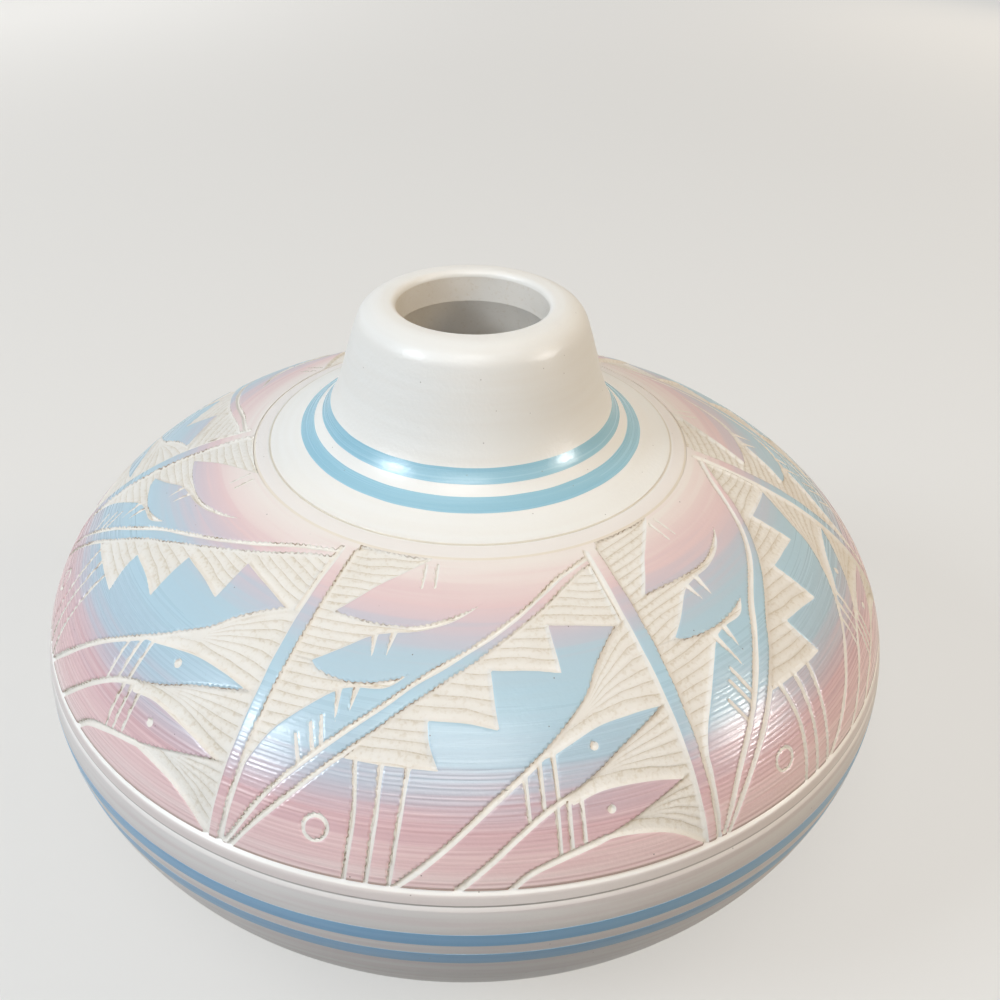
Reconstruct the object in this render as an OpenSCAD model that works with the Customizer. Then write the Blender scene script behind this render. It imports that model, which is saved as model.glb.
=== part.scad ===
// Squat pottery vase with a short conical neck: four luted clay sections,
// white slip coats, a graded pink and blue coat on the shoulder, and painted rings.
// The axis is +Z and the foot stands on z = 0.

/* [Body] */
// Height to the top of the lip
overall_h = 116.5; // [110:0.5:124]
// Widest diameter of the belly
belly_d = 156; // [146:1:176]
// Height of the belly's widest ring
belly_h = 55; // [50:0.5:60]
// Height over the widest ring at which the shoulder's curve would close
shoulder_rise = 41; // [39:0.5:45]
// Diameter of the flat foot
foot_d = 72; // [60:1:90]
// How far the wall stays upright under the widest ring
belly_fullness = 22; // [14:1:28]
// How far the heel's curve reaches out from the foot
heel_reach = 20; // [12:1:26]
// How far the heel's curve reaches up from the foot
heel_rise = 14; // [9:1:22]
// Thickness of the wall with its coats
wall = 6; // [4.5:0.25:7]
// Thickness of the floor
floor_t = 6; // [4:0.25:8]

/* [Neck] */
// Diameter where the neck leaves the shoulder
neck_root_d = 70; // [62:1:76]
// Diameter of the mouth
mouth_d = 26; // [22:0.5:30]
// Thickness of the lip
lip_t = 7; // [6.6:0.2:8]
// Radius of the lip's outer edge
lip_outer_r = 5; // [3:0.2:5.2]
// Radius of the lip's inner edge
lip_inner_r = 1.1; // [1.1:0.05:1.4]
// Lean of the neck's wall under the lip, in degrees
neck_lean = 20; // [10:1:28]
// How far the shoulder's slope carries on into the neck
neck_root_pull = 13; // [8:0.5:15]
// How far the lip's slope carries on down the neck
neck_top_pull = 12; // [6:0.5:14]

/* [Seams] */
// Height of the bowl's tongue in the shoulder
tongue_h = 3; // [2:0.25:5]
// Thickness of the bowl's tongue at its root
tongue_t = 2; // [1:0.25:3]
// Width of the shoulder's ledge under the neck
neck_ledge = 3; // [2:0.25:5]

/* [Coats] */
// Thickness of a slip coat
coat_t = 0.6; // [0.5:0.05:1]
// Thickness of a painted band, laid flush in a white coat
band_t = 0.3; // [0.15:0.05:0.4]
// Height of the bare clay at the foot
bare_foot_h = 3; // [1:0.25:3.5]

/* [Ring lines] */
// Width of a cut ring line on the belly
line_w = 0.9; // [0.5:0.1:1.2]
// Width of a cut ring line round the neck
neck_line_w = 0.5; // [0.3:0.1:1]
// Depth of a ring line that is cut in a white coat
line_depth = 0.3; // [0.15:0.05:0.4]
// Distance of the collar line out from the neck's root
collar_line_out = 0.8; // [0.7:0.1:1.6]
// Distance of the line over the coloured zone out from the neck's root
upper_line_out = 3.4; // [2.8:0.1:6]
// Height of the line under the coloured zone over the widest ring
lower_line_rise = 7; // [6.5:0.1:10]
// Height of the belly line over the widest ring
belly_line_rise = 4.5; // [1:0.1:6]

/* [Coloured zone] */
// Height of the blue coat's lower edge over the widest ring
blue_low_rise = 18.8; // [13:0.2:24]
// Height of the blue coat's upper edge over the widest ring
blue_high_rise = 30.4; // [26:0.2:31]

/* [Painted bands] */
// Height of the lower neck band's edge over the neck's root
neck_band_lower_rise = 1.8; // [1:0.1:3]
// Height of the lower neck band
neck_band_lower_h = 1.5; // [0.8:0.1:2]
// Height of the gap between the neck bands
neck_band_gap_h = 1.4; // [0.8:0.1:3]
// Height of the upper neck band
neck_band_upper_h = 2.1; // [0.8:0.1:3]
// Drop of the upper belly band's edge under the widest ring
belly_band_upper_drop = 0.5; // [0.3:0.1:4]
// Height of the upper belly band
belly_band_upper_h = 2.6; // [1:0.1:5]
// Height of the gap between the belly bands
belly_band_gap_h = 2.3; // [1:0.1:5]
// Height of the lower belly band
belly_band_lower_h = 2.8; // [1:0.1:5]

/* [Hidden] */
$fn = 128;
belly_r = belly_d / 2;
foot_r = foot_d / 2;
neck_root_r = neck_root_d / 2;
mouth_r = mouth_d / 2;

// Angle of the shoulder's ellipse at the neck's root, and the root's height and slope
root_angle = acos(neck_root_r / belly_r);
root_z = belly_h + shoulder_rise * sin(root_angle);
root_tangent = unit([-belly_r * sin(root_angle), shoulder_rise * cos(root_angle)]);

// Centres of the lip's two round edges, and the directions along and across the neck's top
lip_outer_centre = [mouth_r + lip_t - lip_outer_r, overall_h - lip_outer_r];
lip_inner_centre = [mouth_r + lip_inner_r, overall_h - lip_inner_r];
lean_out = [cos(neck_lean), sin(neck_lean)];
lean_up = [-sin(neck_lean), cos(neck_lean)];
lip_start = lip_outer_centre + lip_outer_r * lean_out;

// The outline runs through stations: the foot, the widest ring, the neck's root, the lip's
// outer edge, its flat top, its inner edge and the mouth
FOOT = 0;
BELLY = 1;
ROOT = 2;
LIP = 3;
TOP = 3.5;
EDGE = 3.55;
MOUTH = 3.85;
lower_wall = [
    [foot_r, 0],
    [foot_r + heel_reach, heel_rise],
    [belly_r, belly_h - belly_fullness],
    [belly_r, belly_h]
];
neck_wall = [
    [neck_root_r, root_z],
    [neck_root_r, root_z] + neck_root_pull * root_tangent,
    lip_start - neck_top_pull * lean_up,
    lip_start
];
quarter_turn = 90;
stations_per_stretch = 28;
search_steps = 40;

// Seams between the clay sections
tongue_r = belly_r - wall + tongue_t;
tongue_top_z = belly_h + tongue_h;
ledge_z = root_z - wall / 2;
ledge_r = neck_root_r - neck_ledge;

// Stations of the edges of the coats, the bands and the ring lines, from the foot up
at_bare_foot = station_at_height(bare_foot_h, FOOT, BELLY);
upper_band_top_z = belly_h - belly_band_upper_drop;
upper_band_low_z = upper_band_top_z - belly_band_upper_h;
lower_band_top_z = upper_band_low_z - belly_band_gap_h;
lower_band_low_z = lower_band_top_z - belly_band_lower_h;
at_belly_band_lower = [
    station_at_height(lower_band_low_z, FOOT, BELLY),
    station_at_height(lower_band_top_z, FOOT, BELLY)
];
at_belly_band_upper = [
    station_at_height(upper_band_low_z, FOOT, BELLY),
    station_at_height(upper_band_top_z, FOOT, BELLY)
];
at_belly_line = [for (side = [-1, 1]) station_at_rise(belly_line_rise + side * line_w / 2)];
at_lower_line = [for (side = [-1, 1]) station_at_rise(lower_line_rise + side * line_w / 2)];
at_blue = [station_at_rise(blue_low_rise), station_at_rise(blue_high_rise)];
upper_line_r = neck_root_r + upper_line_out;
collar_line_r = neck_root_r + collar_line_out;
at_upper_line = [for (side = [1, -1]) station_at_radius(upper_line_r + side * neck_line_w / 2)];
at_collar_line = [for (side = [1, -1]) station_at_radius(collar_line_r + side * neck_line_w / 2)];
neck_band_lower_z = root_z + neck_band_lower_rise;
neck_band_upper_z = neck_band_lower_z + neck_band_lower_h + neck_band_gap_h;
at_neck_band_lower = [
    station_at_height(neck_band_lower_z, ROOT, LIP),
    station_at_height(neck_band_lower_z + neck_band_lower_h, ROOT, LIP)
];
at_neck_band_upper = [
    station_at_height(neck_band_upper_z, ROOT, LIP),
    station_at_height(neck_band_upper_z + neck_band_upper_h, ROOT, LIP)
];

// Every station at which a section has a point, so that sections that touch share their points
edges = concat(
    [FOOT, at_bare_foot], at_belly_band_lower, at_belly_band_upper,
    [BELLY], at_belly_line, at_lower_line, at_blue, at_upper_line, at_collar_line,
    [ROOT], at_neck_band_lower, at_neck_band_upper, [LIP, TOP, EDGE, MOUTH]
);
stations = concat(
    [for (i = [0 : len(edges) - 2])
        let (n = max(1, ceil((edges[i + 1] - edges[i]) * stations_per_stretch)))
        for (k = [0 : n - 1]) edges[i] + (edges[i + 1] - edges[i]) * k / n],
    [MOUTH]
);

CLAY = [0.87, 0.83, 0.75];
WHITE = [0.93, 0.92, 0.89];
BLUE = [0.58, 0.76, 0.83];
PINK = [0.84, 0.68, 0.68];

function unit(v) = v / norm(v);

function bezier(p, t) =
    pow(1 - t, 3) * p[0] + 3 * pow(1 - t, 2) * t * p[1]
    + 3 * (1 - t) * pow(t, 2) * p[2] + pow(t, 3) * p[3];

function bezier_slope(p, t) =
    pow(1 - t, 2) * (p[1] - p[0]) + 2 * (1 - t) * t * (p[2] - p[1]) + pow(t, 2) * (p[3] - p[2]);

// Angles round the lip's outer and inner edge at a station
function outer_turn(s) = neck_lean + (quarter_turn - neck_lean) * (s - LIP) / (TOP - LIP);
function inner_turn(s) = quarter_turn + quarter_turn * (s - EDGE) / (MOUTH - EDGE);

// Point [radius, height] of the outside at a station
function outline(s) =
    s <= BELLY ? bezier(lower_wall, s - FOOT)
    : s <= ROOT ? let (a = root_angle * (s - BELLY)) [belly_r * cos(a), belly_h + shoulder_rise * sin(a)]
    : s <= LIP ? bezier(neck_wall, s - ROOT)
    : s <= TOP ? lip_outer_centre + lip_outer_r * [cos(outer_turn(s)), sin(outer_turn(s))]
    : s < EDGE ? let (t = (s - TOP) / (EDGE - TOP))
        [lip_outer_centre[0] * (1 - t) + lip_inner_centre[0] * t, overall_h]
    : lip_inner_centre + lip_inner_r * [cos(inner_turn(s)), sin(inner_turn(s))];

// Direction along the outside at a station, towards the mouth
function along(s) =
    s < BELLY ? unit(bezier_slope(lower_wall, s - FOOT))
    : s < ROOT ? let (a = root_angle * (s - BELLY)) unit([-belly_r * sin(a), shoulder_rise * cos(a)])
    : s < LIP ? unit(bezier_slope(neck_wall, s - ROOT))
    : s < TOP ? [-sin(outer_turn(s)), cos(outer_turn(s))]
    : s < EDGE ? [-1, 0]
    : [-sin(inner_turn(s)), cos(inner_turn(s))];

// Point at a depth under the outside
function under(s, depth) = outline(s) + depth * [-along(s)[1], along(s)[0]];

// Stations where the outside reaches a height, a rise over the widest ring, or a radius
function station_at_height(z, low, high, steps = search_steps) =
    let (mid = (low + high) / 2)
    steps == 0 ? mid
    : outline(mid)[1] < z ? station_at_height(z, mid, high, steps - 1)
    : station_at_height(z, low, mid, steps - 1);
function station_at_rise(rise) = BELLY + asin(rise / shoulder_rise) / root_angle;
function station_at_radius(r) = BELLY + acos(r / belly_r) / root_angle;

// Points from one station to another at one depth
function stretch(from, to, depth) = [for (s = stations) if (s >= from && s <= to) under(s, depth)];

// Depth of the chamber's wall under the outside: the wall, growing to the lip's thickness
function chamber_depth(s) = s <= ROOT ? wall : wall + (lip_t - wall) * (s - ROOT);

function reversed(points) = [for (i = [len(points) - 1 : -1 : 0]) points[i]];

// Outline of the clay without its hollow: bare at the foot, set back under the coats above it
module solid_section()
    polygon(concat(
        [[0, 0]],
        stretch(FOOT, at_bare_foot, 0),
        stretch(at_bare_foot, MOUTH, coat_t),
        [outline(MOUTH), [0, outline(MOUTH)[1]]]
    ));

// Outline of the hollow, from the floor up through the mouth
module chamber_section()
    intersection() {
        polygon(concat(
            [[0, 0]],
            [for (s = stations) if (s <= LIP) under(s, chamber_depth(s))],
            [[mouth_r, outline(MOUTH)[1]], [mouth_r, overall_h], [0, overall_h]]
        ));
        translate([0, floor_t]) square([belly_d, overall_h]);
    }

module clay_section()
    difference() {
        solid_section();
        chamber_section();
    }

// Everything under the belly seam, with the tongue that stands inside the shoulder
module under_belly_seam() {
    square([belly_d, belly_h]);
    square([tongue_r, tongue_top_z]);
}

// Everything inside the neck's seam, which steps out over the shoulder's ledge
module inside_neck_seam() {
    translate([0, tongue_top_z]) square([ledge_r, overall_h]);
    translate([0, ledge_z]) square([neck_root_r, overall_h]);
}

// A ring of coat between two stations
module coat_ring(from, to, depth)
    rotate_extrude() polygon(concat(stretch(from, to, 0), reversed(stretch(from, to, depth))));

module base()
    color(CLAY) rotate_extrude() intersection() {
        solid_section();
        square([belly_d, floor_t]);
    }

module lower_bowl()
    color(CLAY) rotate_extrude() difference() {
        intersection() {
            clay_section();
            under_belly_seam();
        }
        square([belly_d, floor_t]);
    }

module shoulder()
    color(CLAY) rotate_extrude() difference() {
        clay_section();
        under_belly_seam();
        inside_neck_seam();
    }

module neck()
    color(CLAY) rotate_extrude() intersection() {
        clay_section();
        inside_neck_seam();
    }

// White coat of the neck and collar, with the collar line and the beds of the neck bands
module neck_slip()
    color(WHITE) rotate_extrude() polygon(concat(
        stretch(at_upper_line[1], at_collar_line[0], 0),
        stretch(at_collar_line[0], at_collar_line[1], line_depth),
        stretch(at_collar_line[1], at_neck_band_lower[0], 0),
        stretch(at_neck_band_lower[0], at_neck_band_lower[1], band_t),
        stretch(at_neck_band_lower[1], at_neck_band_upper[0], 0),
        stretch(at_neck_band_upper[0], at_neck_band_upper[1], band_t),
        stretch(at_neck_band_upper[1], MOUTH, 0),
        reversed(stretch(at_upper_line[1], MOUTH, coat_t))
    ));

module neck_band_upper()
    color(BLUE) coat_ring(at_neck_band_upper[0], at_neck_band_upper[1], band_t);

module neck_band_lower()
    color(BLUE) coat_ring(at_neck_band_lower[0], at_neck_band_lower[1], band_t);

module upper_pink_coat()
    color(PINK) coat_ring(at_blue[1], at_upper_line[0], coat_t);

module blue_coat()
    color(BLUE) coat_ring(at_blue[0], at_blue[1], coat_t);

module lower_pink_coat()
    color(PINK) coat_ring(at_lower_line[1], at_blue[0], coat_t);

// White coat of the belly, with the belly line and the beds of the belly bands
module belly_slip()
    color(WHITE) rotate_extrude() polygon(concat(
        stretch(at_bare_foot, at_belly_band_lower[0], 0),
        stretch(at_belly_band_lower[0], at_belly_band_lower[1], band_t),
        stretch(at_belly_band_lower[1], at_belly_band_upper[0], 0),
        stretch(at_belly_band_upper[0], at_belly_band_upper[1], band_t),
        stretch(at_belly_band_upper[1], at_belly_line[0], 0),
        stretch(at_belly_line[0], at_belly_line[1], line_depth),
        stretch(at_belly_line[1], at_lower_line[0], 0),
        reversed(stretch(at_bare_foot, at_lower_line[0], coat_t))
    ));

module belly_band_upper()
    color(BLUE) coat_ring(at_belly_band_upper[0], at_belly_band_upper[1], band_t);

module belly_band_lower()
    color(BLUE) coat_ring(at_belly_band_lower[0], at_belly_band_lower[1], band_t);

base();
lower_bowl();
shoulder();
neck();
neck_slip();
neck_band_upper();
neck_band_lower();
upper_pink_coat();
blue_coat();
lower_pink_coat();
belly_slip();
belly_band_upper();
belly_band_lower();
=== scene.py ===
"""Looks of a squat pottery vase: white slip, painted rings and a carved shoulder in pink and blue.

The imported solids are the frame. The clay sections keep their solids, and every coat and band is
turned again on the same outline, so that its brush marks, tool marks and carving are real shape.
Lengths on the vase are in millimetres here and become metres where a mesh is made.
"""

import logging
import math
from dataclasses import dataclass, field, replace
from enum import Enum
from typing import Any, Sequence

import bmesh
import bpy
import numpy as np
from mathutils import Matrix, Vector


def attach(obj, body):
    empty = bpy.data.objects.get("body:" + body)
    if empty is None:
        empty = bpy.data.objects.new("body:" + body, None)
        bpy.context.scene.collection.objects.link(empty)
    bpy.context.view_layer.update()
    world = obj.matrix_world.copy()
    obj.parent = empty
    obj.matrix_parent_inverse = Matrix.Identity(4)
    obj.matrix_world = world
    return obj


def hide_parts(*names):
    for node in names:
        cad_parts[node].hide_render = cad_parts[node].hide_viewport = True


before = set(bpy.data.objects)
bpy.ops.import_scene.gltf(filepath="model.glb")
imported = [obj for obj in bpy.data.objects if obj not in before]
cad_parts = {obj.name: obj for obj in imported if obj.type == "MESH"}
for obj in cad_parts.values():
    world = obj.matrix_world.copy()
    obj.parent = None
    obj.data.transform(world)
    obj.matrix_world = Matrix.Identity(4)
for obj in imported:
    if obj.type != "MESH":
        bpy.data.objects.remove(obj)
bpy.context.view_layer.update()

log = logging.getLogger("vase")

MM = 0.001
FULL_TURN = 2.0 * math.pi
# Millimetres that count as far from any cut
FAR = 9.0
# Kept in a divisor that may come out as 0
TINY = 1e-12
# Metres within which the lathe joins the two ends of a ring
WELD = 1e-6

Point = tuple[float, float]
Path = tuple[Point, ...]
Colour = tuple[float, float, float, float]
# Lower and upper end of a value, and what the two turn into
Fade = tuple[float, float, float, float]


def paint(red: int, green: int, blue: int) -> Colour:
    """A colour as it shows on a screen, turned into the linear colour that a shader takes.

    Args:
        red: Red from 0 to 255.
        green: Green from 0 to 255.
        blue: Blue from 0 to 255.

    Returns:
        The linear colour with full alpha.
    """
    def channel(value: int) -> float:
        """One channel in linear light."""
        share = value / 255.0
        return share / 12.92 if share <= 0.04045 else ((share + 0.055) / 1.055) ** 2.4

    return (channel(red), channel(green), channel(blue), 1.0)


def smooth_step(value: np.ndarray, low: Any, high: Any) -> np.ndarray:
    """A soft step from 0 to 1.

    Args:
        value: Where each place lies.
        low: Value at which the step starts.
        high: Value at which it ends, which may be the smaller one.

    Returns:
        The height of the step at each place.
    """
    share = np.clip((value - low) / (high - low), 0, 1)
    return share ** 2 * (3 - 2 * share)


def swell(share: np.ndarray) -> np.ndarray:
    """1 at the middle of a stretch and 0 at its ends."""
    return 4 * share * (1 - share)


# The turned shape

def bezier(corners: np.ndarray, share: np.ndarray) -> np.ndarray:
    """Points of a cubic curve.

    Args:
        corners: The four corners of the curve.
        share: Shares of the way along it.

    Returns:
        One point for each share.
    """
    t = share[:, None]
    start = (1 - t) ** 3 * corners[0] + 3 * (1 - t) ** 2 * t * corners[1]
    return start + 3 * (1 - t) * t ** 2 * corners[2] + t ** 3 * corners[3]


@dataclass(frozen=True)
class Outline:
    """Outside of the vase as radius and height, through stations from the foot to the mouth.

    The stations are foot 0, widest ring 1, neck root 2 and lip 3, and after them the lip's flat top,
    its inner edge and the mouth.
    """

    overall_h: float = 116.5
    belly_d: float = 156.0
    belly_h: float = 55.0
    shoulder_rise: float = 41.0
    foot_d: float = 72.0
    belly_fullness: float = 22.0
    heel_reach: float = 20.0
    heel_rise: float = 14.0
    neck_root_d: float = 70.0
    mouth_d: float = 26.0
    lip_t: float = 7.0
    lip_outer_r: float = 5.0
    lip_inner_r: float = 1.1
    neck_lean: float = math.radians(20.0)
    neck_root_pull: float = 13.0
    neck_top_pull: float = 12.0
    lip: float = 3.0
    top: float = 3.5
    edge: float = 3.55
    mouth: float = 3.85
    samples: int = 8001
    slope_reach: float = 0.05

    def __post_init__(self) -> None:
        """Works out the curves and a table from distance along the outside to station."""
        belly_r = self.belly_d / 2
        root_r = self.neck_root_d / 2
        angle = math.acos(root_r / belly_r)
        root = np.array([root_r, self.belly_h + self.shoulder_rise * math.sin(angle)])
        slope = np.array([-belly_r * math.sin(angle), self.shoulder_rise * math.cos(angle)])
        mouth_r = self.mouth_d / 2
        outer = np.array([mouth_r + self.lip_t - self.lip_outer_r, self.overall_h - self.lip_outer_r])
        inner = np.array([mouth_r + self.lip_inner_r, self.overall_h - self.lip_inner_r])
        lean_out = np.array([math.cos(self.neck_lean), math.sin(self.neck_lean)])
        lean_up = np.array([-math.sin(self.neck_lean), math.cos(self.neck_lean)])
        lip_start = outer + self.lip_outer_r * lean_out
        foot_r = self.foot_d / 2
        lower_wall = np.array([
            [foot_r, 0.0],
            [foot_r + self.heel_reach, self.heel_rise],
            [belly_r, self.belly_h - self.belly_fullness],
            [belly_r, self.belly_h],
        ])
        neck_wall = np.array([
            root,
            root + self.neck_root_pull * slope / np.linalg.norm(slope),
            lip_start - self.neck_top_pull * lean_up,
            lip_start,
        ])
        values = {"root_angle": angle, "root": root, "lip_outer": outer, "lip_inner": inner,
                  "lower_wall": lower_wall, "neck_wall": neck_wall}
        for name, value in values.items():
            object.__setattr__(self, name, value)
        stations = np.linspace(0.0, self.mouth, self.samples)
        steps = np.linalg.norm(np.diff(self.at(stations), axis=0), axis=1)
        object.__setattr__(self, "stations", stations)
        object.__setattr__(self, "lengths", np.concatenate([[0.0], np.cumsum(steps)]))

    def at(self, station: np.ndarray) -> np.ndarray:
        """Radius and height of the outside.

        Args:
            station: Stations along the outside.

        Returns:
            One row of radius and height for each station.
        """
        belly_r = self.belly_d / 2
        turn = self.root_angle * np.clip(station - 1, 0, 1)
        shoulder = np.stack([belly_r * np.cos(turn),
                             self.belly_h + self.shoulder_rise * np.sin(turn)], axis=1)
        neck = bezier(self.neck_wall, np.clip(station - 2, 0, 1))
        points = bezier(self.lower_wall, np.clip(station, 0, 1))
        points = np.where(station[:, None] > 1, shoulder, points)
        points = np.where(station[:, None] > 2, neck, points)
        return np.where(station[:, None] > self.lip, self.round_lip(station), points)

    def round_lip(self, station: np.ndarray) -> np.ndarray:
        """Radius and height of the lip: a wide outer round, a flat top and a small inner round.

        Args:
            station: Stations along the outside.

        Returns:
            One row of radius and height for each station.
        """
        quarter = math.pi / 2
        outer_share = np.clip((station - self.lip) / (self.top - self.lip), 0, 1)
        inner_share = np.clip((station - self.edge) / (self.mouth - self.edge), 0, 1)
        flat = np.clip((station - self.top) / (self.edge - self.top), 0, 1)[:, None]
        outer_turn = self.neck_lean + (quarter - self.neck_lean) * outer_share
        inner_turn = quarter + quarter * inner_share
        outer_round = np.stack([np.cos(outer_turn), np.sin(outer_turn)], axis=1)
        inner_round = np.stack([np.cos(inner_turn), np.sin(inner_turn)], axis=1)
        outer = self.lip_outer + self.lip_outer_r * outer_round
        inner = self.lip_inner + self.lip_inner_r * inner_round
        return (1 - flat) * outer + flat * inner

    def along(self, station: float) -> float:
        """Distance along the outside from the foot to a station."""
        return float(np.interp(station, self.stations, self.lengths))

    def station(self, length: np.ndarray) -> np.ndarray:
        """Stations at distances along the outside."""
        return np.interp(length, self.lengths, self.stations)

    def surface(self, length: np.ndarray) -> tuple[np.ndarray, np.ndarray]:
        """Points of the outside and the directions that face away from the clay there.

        Args:
            length: Distances along the outside from the foot.

        Returns:
            Points and unit directions, each as rows of radius and height.
        """
        points = self.at(self.station(length))
        ahead = self.at(self.station(length + self.slope_reach))
        slope = ahead - self.at(self.station(length - self.slope_reach))
        slope /= np.linalg.norm(slope, axis=1)[:, None]
        return points, np.stack([slope[:, 1], -slope[:, 0]], axis=1)

    def height_length(self, height: float, station: int) -> float:
        """Distance along the outside at which it reaches a height.

        Args:
            height: The height.
            station: The whole station that lies under it.

        Returns:
            The distance from the foot.
        """
        inside = (self.stations >= station) & (self.stations <= station + 1)
        heights = self.at(self.stations[inside])[:, 1]
        return float(np.interp(height, heights, self.lengths[inside]))

    def rise_length(self, rise: float) -> float:
        """Distance along the outside at a rise over the widest ring."""
        return self.along(1 + math.asin(rise / self.shoulder_rise) / self.root_angle)

    def radius_length(self, radius: float) -> float:
        """Distance along the outside at a radius on the shoulder."""
        return self.along(1 + math.acos(radius / (self.belly_d / 2)) / self.root_angle)


@dataclass(frozen=True)
class Edges:
    """Where each coat, band and ring line starts and ends, as distances along the outside."""

    outline: Outline
    bare_foot_h: float = 3.0
    line_w: float = 0.9
    neck_line_w: float = 0.5
    collar_line_out: float = 0.8
    upper_line_out: float = 3.4
    lower_line_rise: float = 7.0
    belly_line_rise: float = 4.5
    blue_low_rise: float = 18.8
    blue_high_rise: float = 30.4
    neck_band_rises: tuple[Point, ...] = ((1.8, 3.3), (4.7, 6.8))
    belly_band_drops: tuple[Point, ...] = ((3.1, 0.5), (8.2, 5.4))

    def bare_foot(self) -> float:
        """Upper edge of the bare clay at the foot."""
        return self.outline.height_length(self.bare_foot_h, 0)

    def blue(self) -> Point:
        """Lower and upper edge of the blue coat."""
        low, high = self.blue_low_rise, self.blue_high_rise
        return (self.outline.rise_length(low), self.outline.rise_length(high))

    def rise_line(self, rise: float) -> Point:
        """Lower and upper edge of a ring line over the widest ring."""
        half = self.line_w / 2
        return (self.outline.rise_length(rise - half), self.outline.rise_length(rise + half))

    def neck_line(self, out: float) -> Point:
        """Lower and upper edge of a ring line on the collar.

        Args:
            out: How far its middle lies out from the neck's root.

        Returns:
            The two edges.
        """
        middle = self.outline.neck_root_d / 2 + out
        half = self.neck_line_w / 2
        return (self.outline.radius_length(middle + half), self.outline.radius_length(middle - half))

    def between(self, low: float, high: float, station: int) -> Point:
        """Distances along the outside at two heights over a station."""
        return (self.outline.height_length(low, station), self.outline.height_length(high, station))

    def neck_band(self, index: int) -> Point:
        """Lower and upper edge of a neck band, counted from the lower one."""
        low, high = self.neck_band_rises[index]
        return self.between(self.outline.root[1] + low, self.outline.root[1] + high, 2)

    def belly_band(self, index: int) -> Point:
        """Lower and upper edge of a belly band, counted from the upper one."""
        low, high = self.belly_band_drops[index]
        return self.between(self.outline.belly_h - low, self.outline.belly_h - high, 0)

    def mouth(self) -> float:
        """Upper edge of the white coat, just inside the mouth."""
        return self.outline.along(self.outline.mouth)


@dataclass(frozen=True)
class Ripple:
    """Smooth seeded unevenness over the turned surface, closed round the vase.

    Args:
        wavelength: Middle length of its waves in millimetres.
        seed: Seed of its draws.
        stretch: How many times longer the waves are round the vase than along the outside.
        waves: Number of waves that are added up.
        lengths: Shortest and longest wave, as shares of the middle length.
        middle_r: Radius at which the waves round the vase have their length.
    """

    wavelength: float
    seed: int
    stretch: float = 1.0
    waves: int = 18
    lengths: Point = (0.65, 1.5)
    middle_r: float = 60.0

    def value(self, azimuth: np.ndarray, length: np.ndarray) -> np.ndarray:
        """Unevenness of about one unit either way.

        Args:
            azimuth: Angles round the vase.
            length: Distances along the outside.

        Returns:
            One value for each place.
        """
        draws = np.random.default_rng(self.seed)
        total = np.zeros_like(azimuth)
        for _ in range(self.waves):
            heading = draws.uniform(0, FULL_TURN)
            pace = FULL_TURN / (self.wavelength * draws.uniform(*self.lengths))
            around = round(pace * math.cos(heading) / self.stretch * self.middle_r)
            start = draws.uniform(0, FULL_TURN)
            total += np.sin(around * azimuth + pace * math.sin(heading) * length + start)
        return total * math.sqrt(2.0 / self.waves)


# Node trees

class Board:
    """Adds nodes to one tree and joins their sockets."""

    def __init__(self, tree: bpy.types.NodeTree) -> None:
        """Takes the tree to work on."""
        self.tree = tree

    def add(self, kind: str, feeds: dict[Any, Any] | None = None, **settings: Any) -> bpy.types.Node:
        """Adds a node.

        Args:
            kind: The node's type.
            feeds: A socket or a plain value for each named or numbered input.
            settings: The node's own choices, set before its inputs.

        Returns:
            The new node.
        """
        node = self.tree.nodes.new(kind)
        for name, value in settings.items():
            setattr(node, name, value)
        for name, value in (feeds or {}).items():
            self.feed(node.inputs[name], value)
        return node

    def feed(self, into: bpy.types.NodeSocket, value: Any) -> None:
        """Joins a socket to an input, or sets the input to a plain value.

        Args:
            into: The input.
            value: A socket or a plain value.
        """
        if isinstance(value, bpy.types.NodeSocket):
            self.tree.links.new(value, into)
        else:
            into.default_value = value

    def sum(self, operation: str, first: Any, second: Any = 0.0, third: Any = 0.0) -> bpy.types.NodeSocket:
        """Result of a sum on up to three values."""
        node = self.add("ShaderNodeMath", {0: first, 1: second, 2: third}, operation=operation)
        return node.outputs[0]

    def product(self, first: Any, *others: Any) -> bpy.types.NodeSocket:
        """Several values multiplied with one another.

        Args:
            first: The first value.
            others: One or more other values.

        Returns:
            The product.
        """
        result = first
        for other in others:
            result = self.sum("MULTIPLY", result, other)
        return result

    def blend(self, share: Any, first: Any, second: Any) -> bpy.types.NodeSocket:
        """A colour between two colours."""
        node = self.add("ShaderNodeMix", {0: share, 6: first, 7: second}, data_type="RGBA")
        return node.outputs[2]

    def between(self, share: Any, first: Any, second: Any) -> bpy.types.NodeSocket:
        """A value between two values."""
        return self.add("ShaderNodeMix", {0: share, 2: first, 3: second}).outputs[0]

    def ramp(self, value: Any, low: float, high: float, start: float, end: float) -> bpy.types.NodeSocket:
        """A value eased from one range to another and held at its ends.

        Args:
            value: The value.
            low: Where the first range starts.
            high: Where it ends, which may be the smaller one.
            start: What the low end turns into.
            end: What the high end turns into.

        Returns:
            The eased value.
        """
        node = self.add("ShaderNodeMapRange", {
            "Value": value, "From Min": low, "From Max": high, "To Min": start, "To Max": end},
            interpolation_type="SMOOTHSTEP")
        return node.outputs[0]

    def attribute(self, name: str) -> bpy.types.NodeSocket:
        """A number that the piece's mesh holds at each point."""
        return self.add("ShaderNodeAttribute", attribute_name=name).outputs["Fac"]

    def noise(self, vector: Any, scale: Any, detail: float) -> bpy.types.NodeSocket:
        """Soft noise at a place."""
        node = self.add("ShaderNodeTexNoise", {"Vector": vector, "Scale": scale, "Detail": detail})
        return node.outputs[0]


# The lathe

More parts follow.
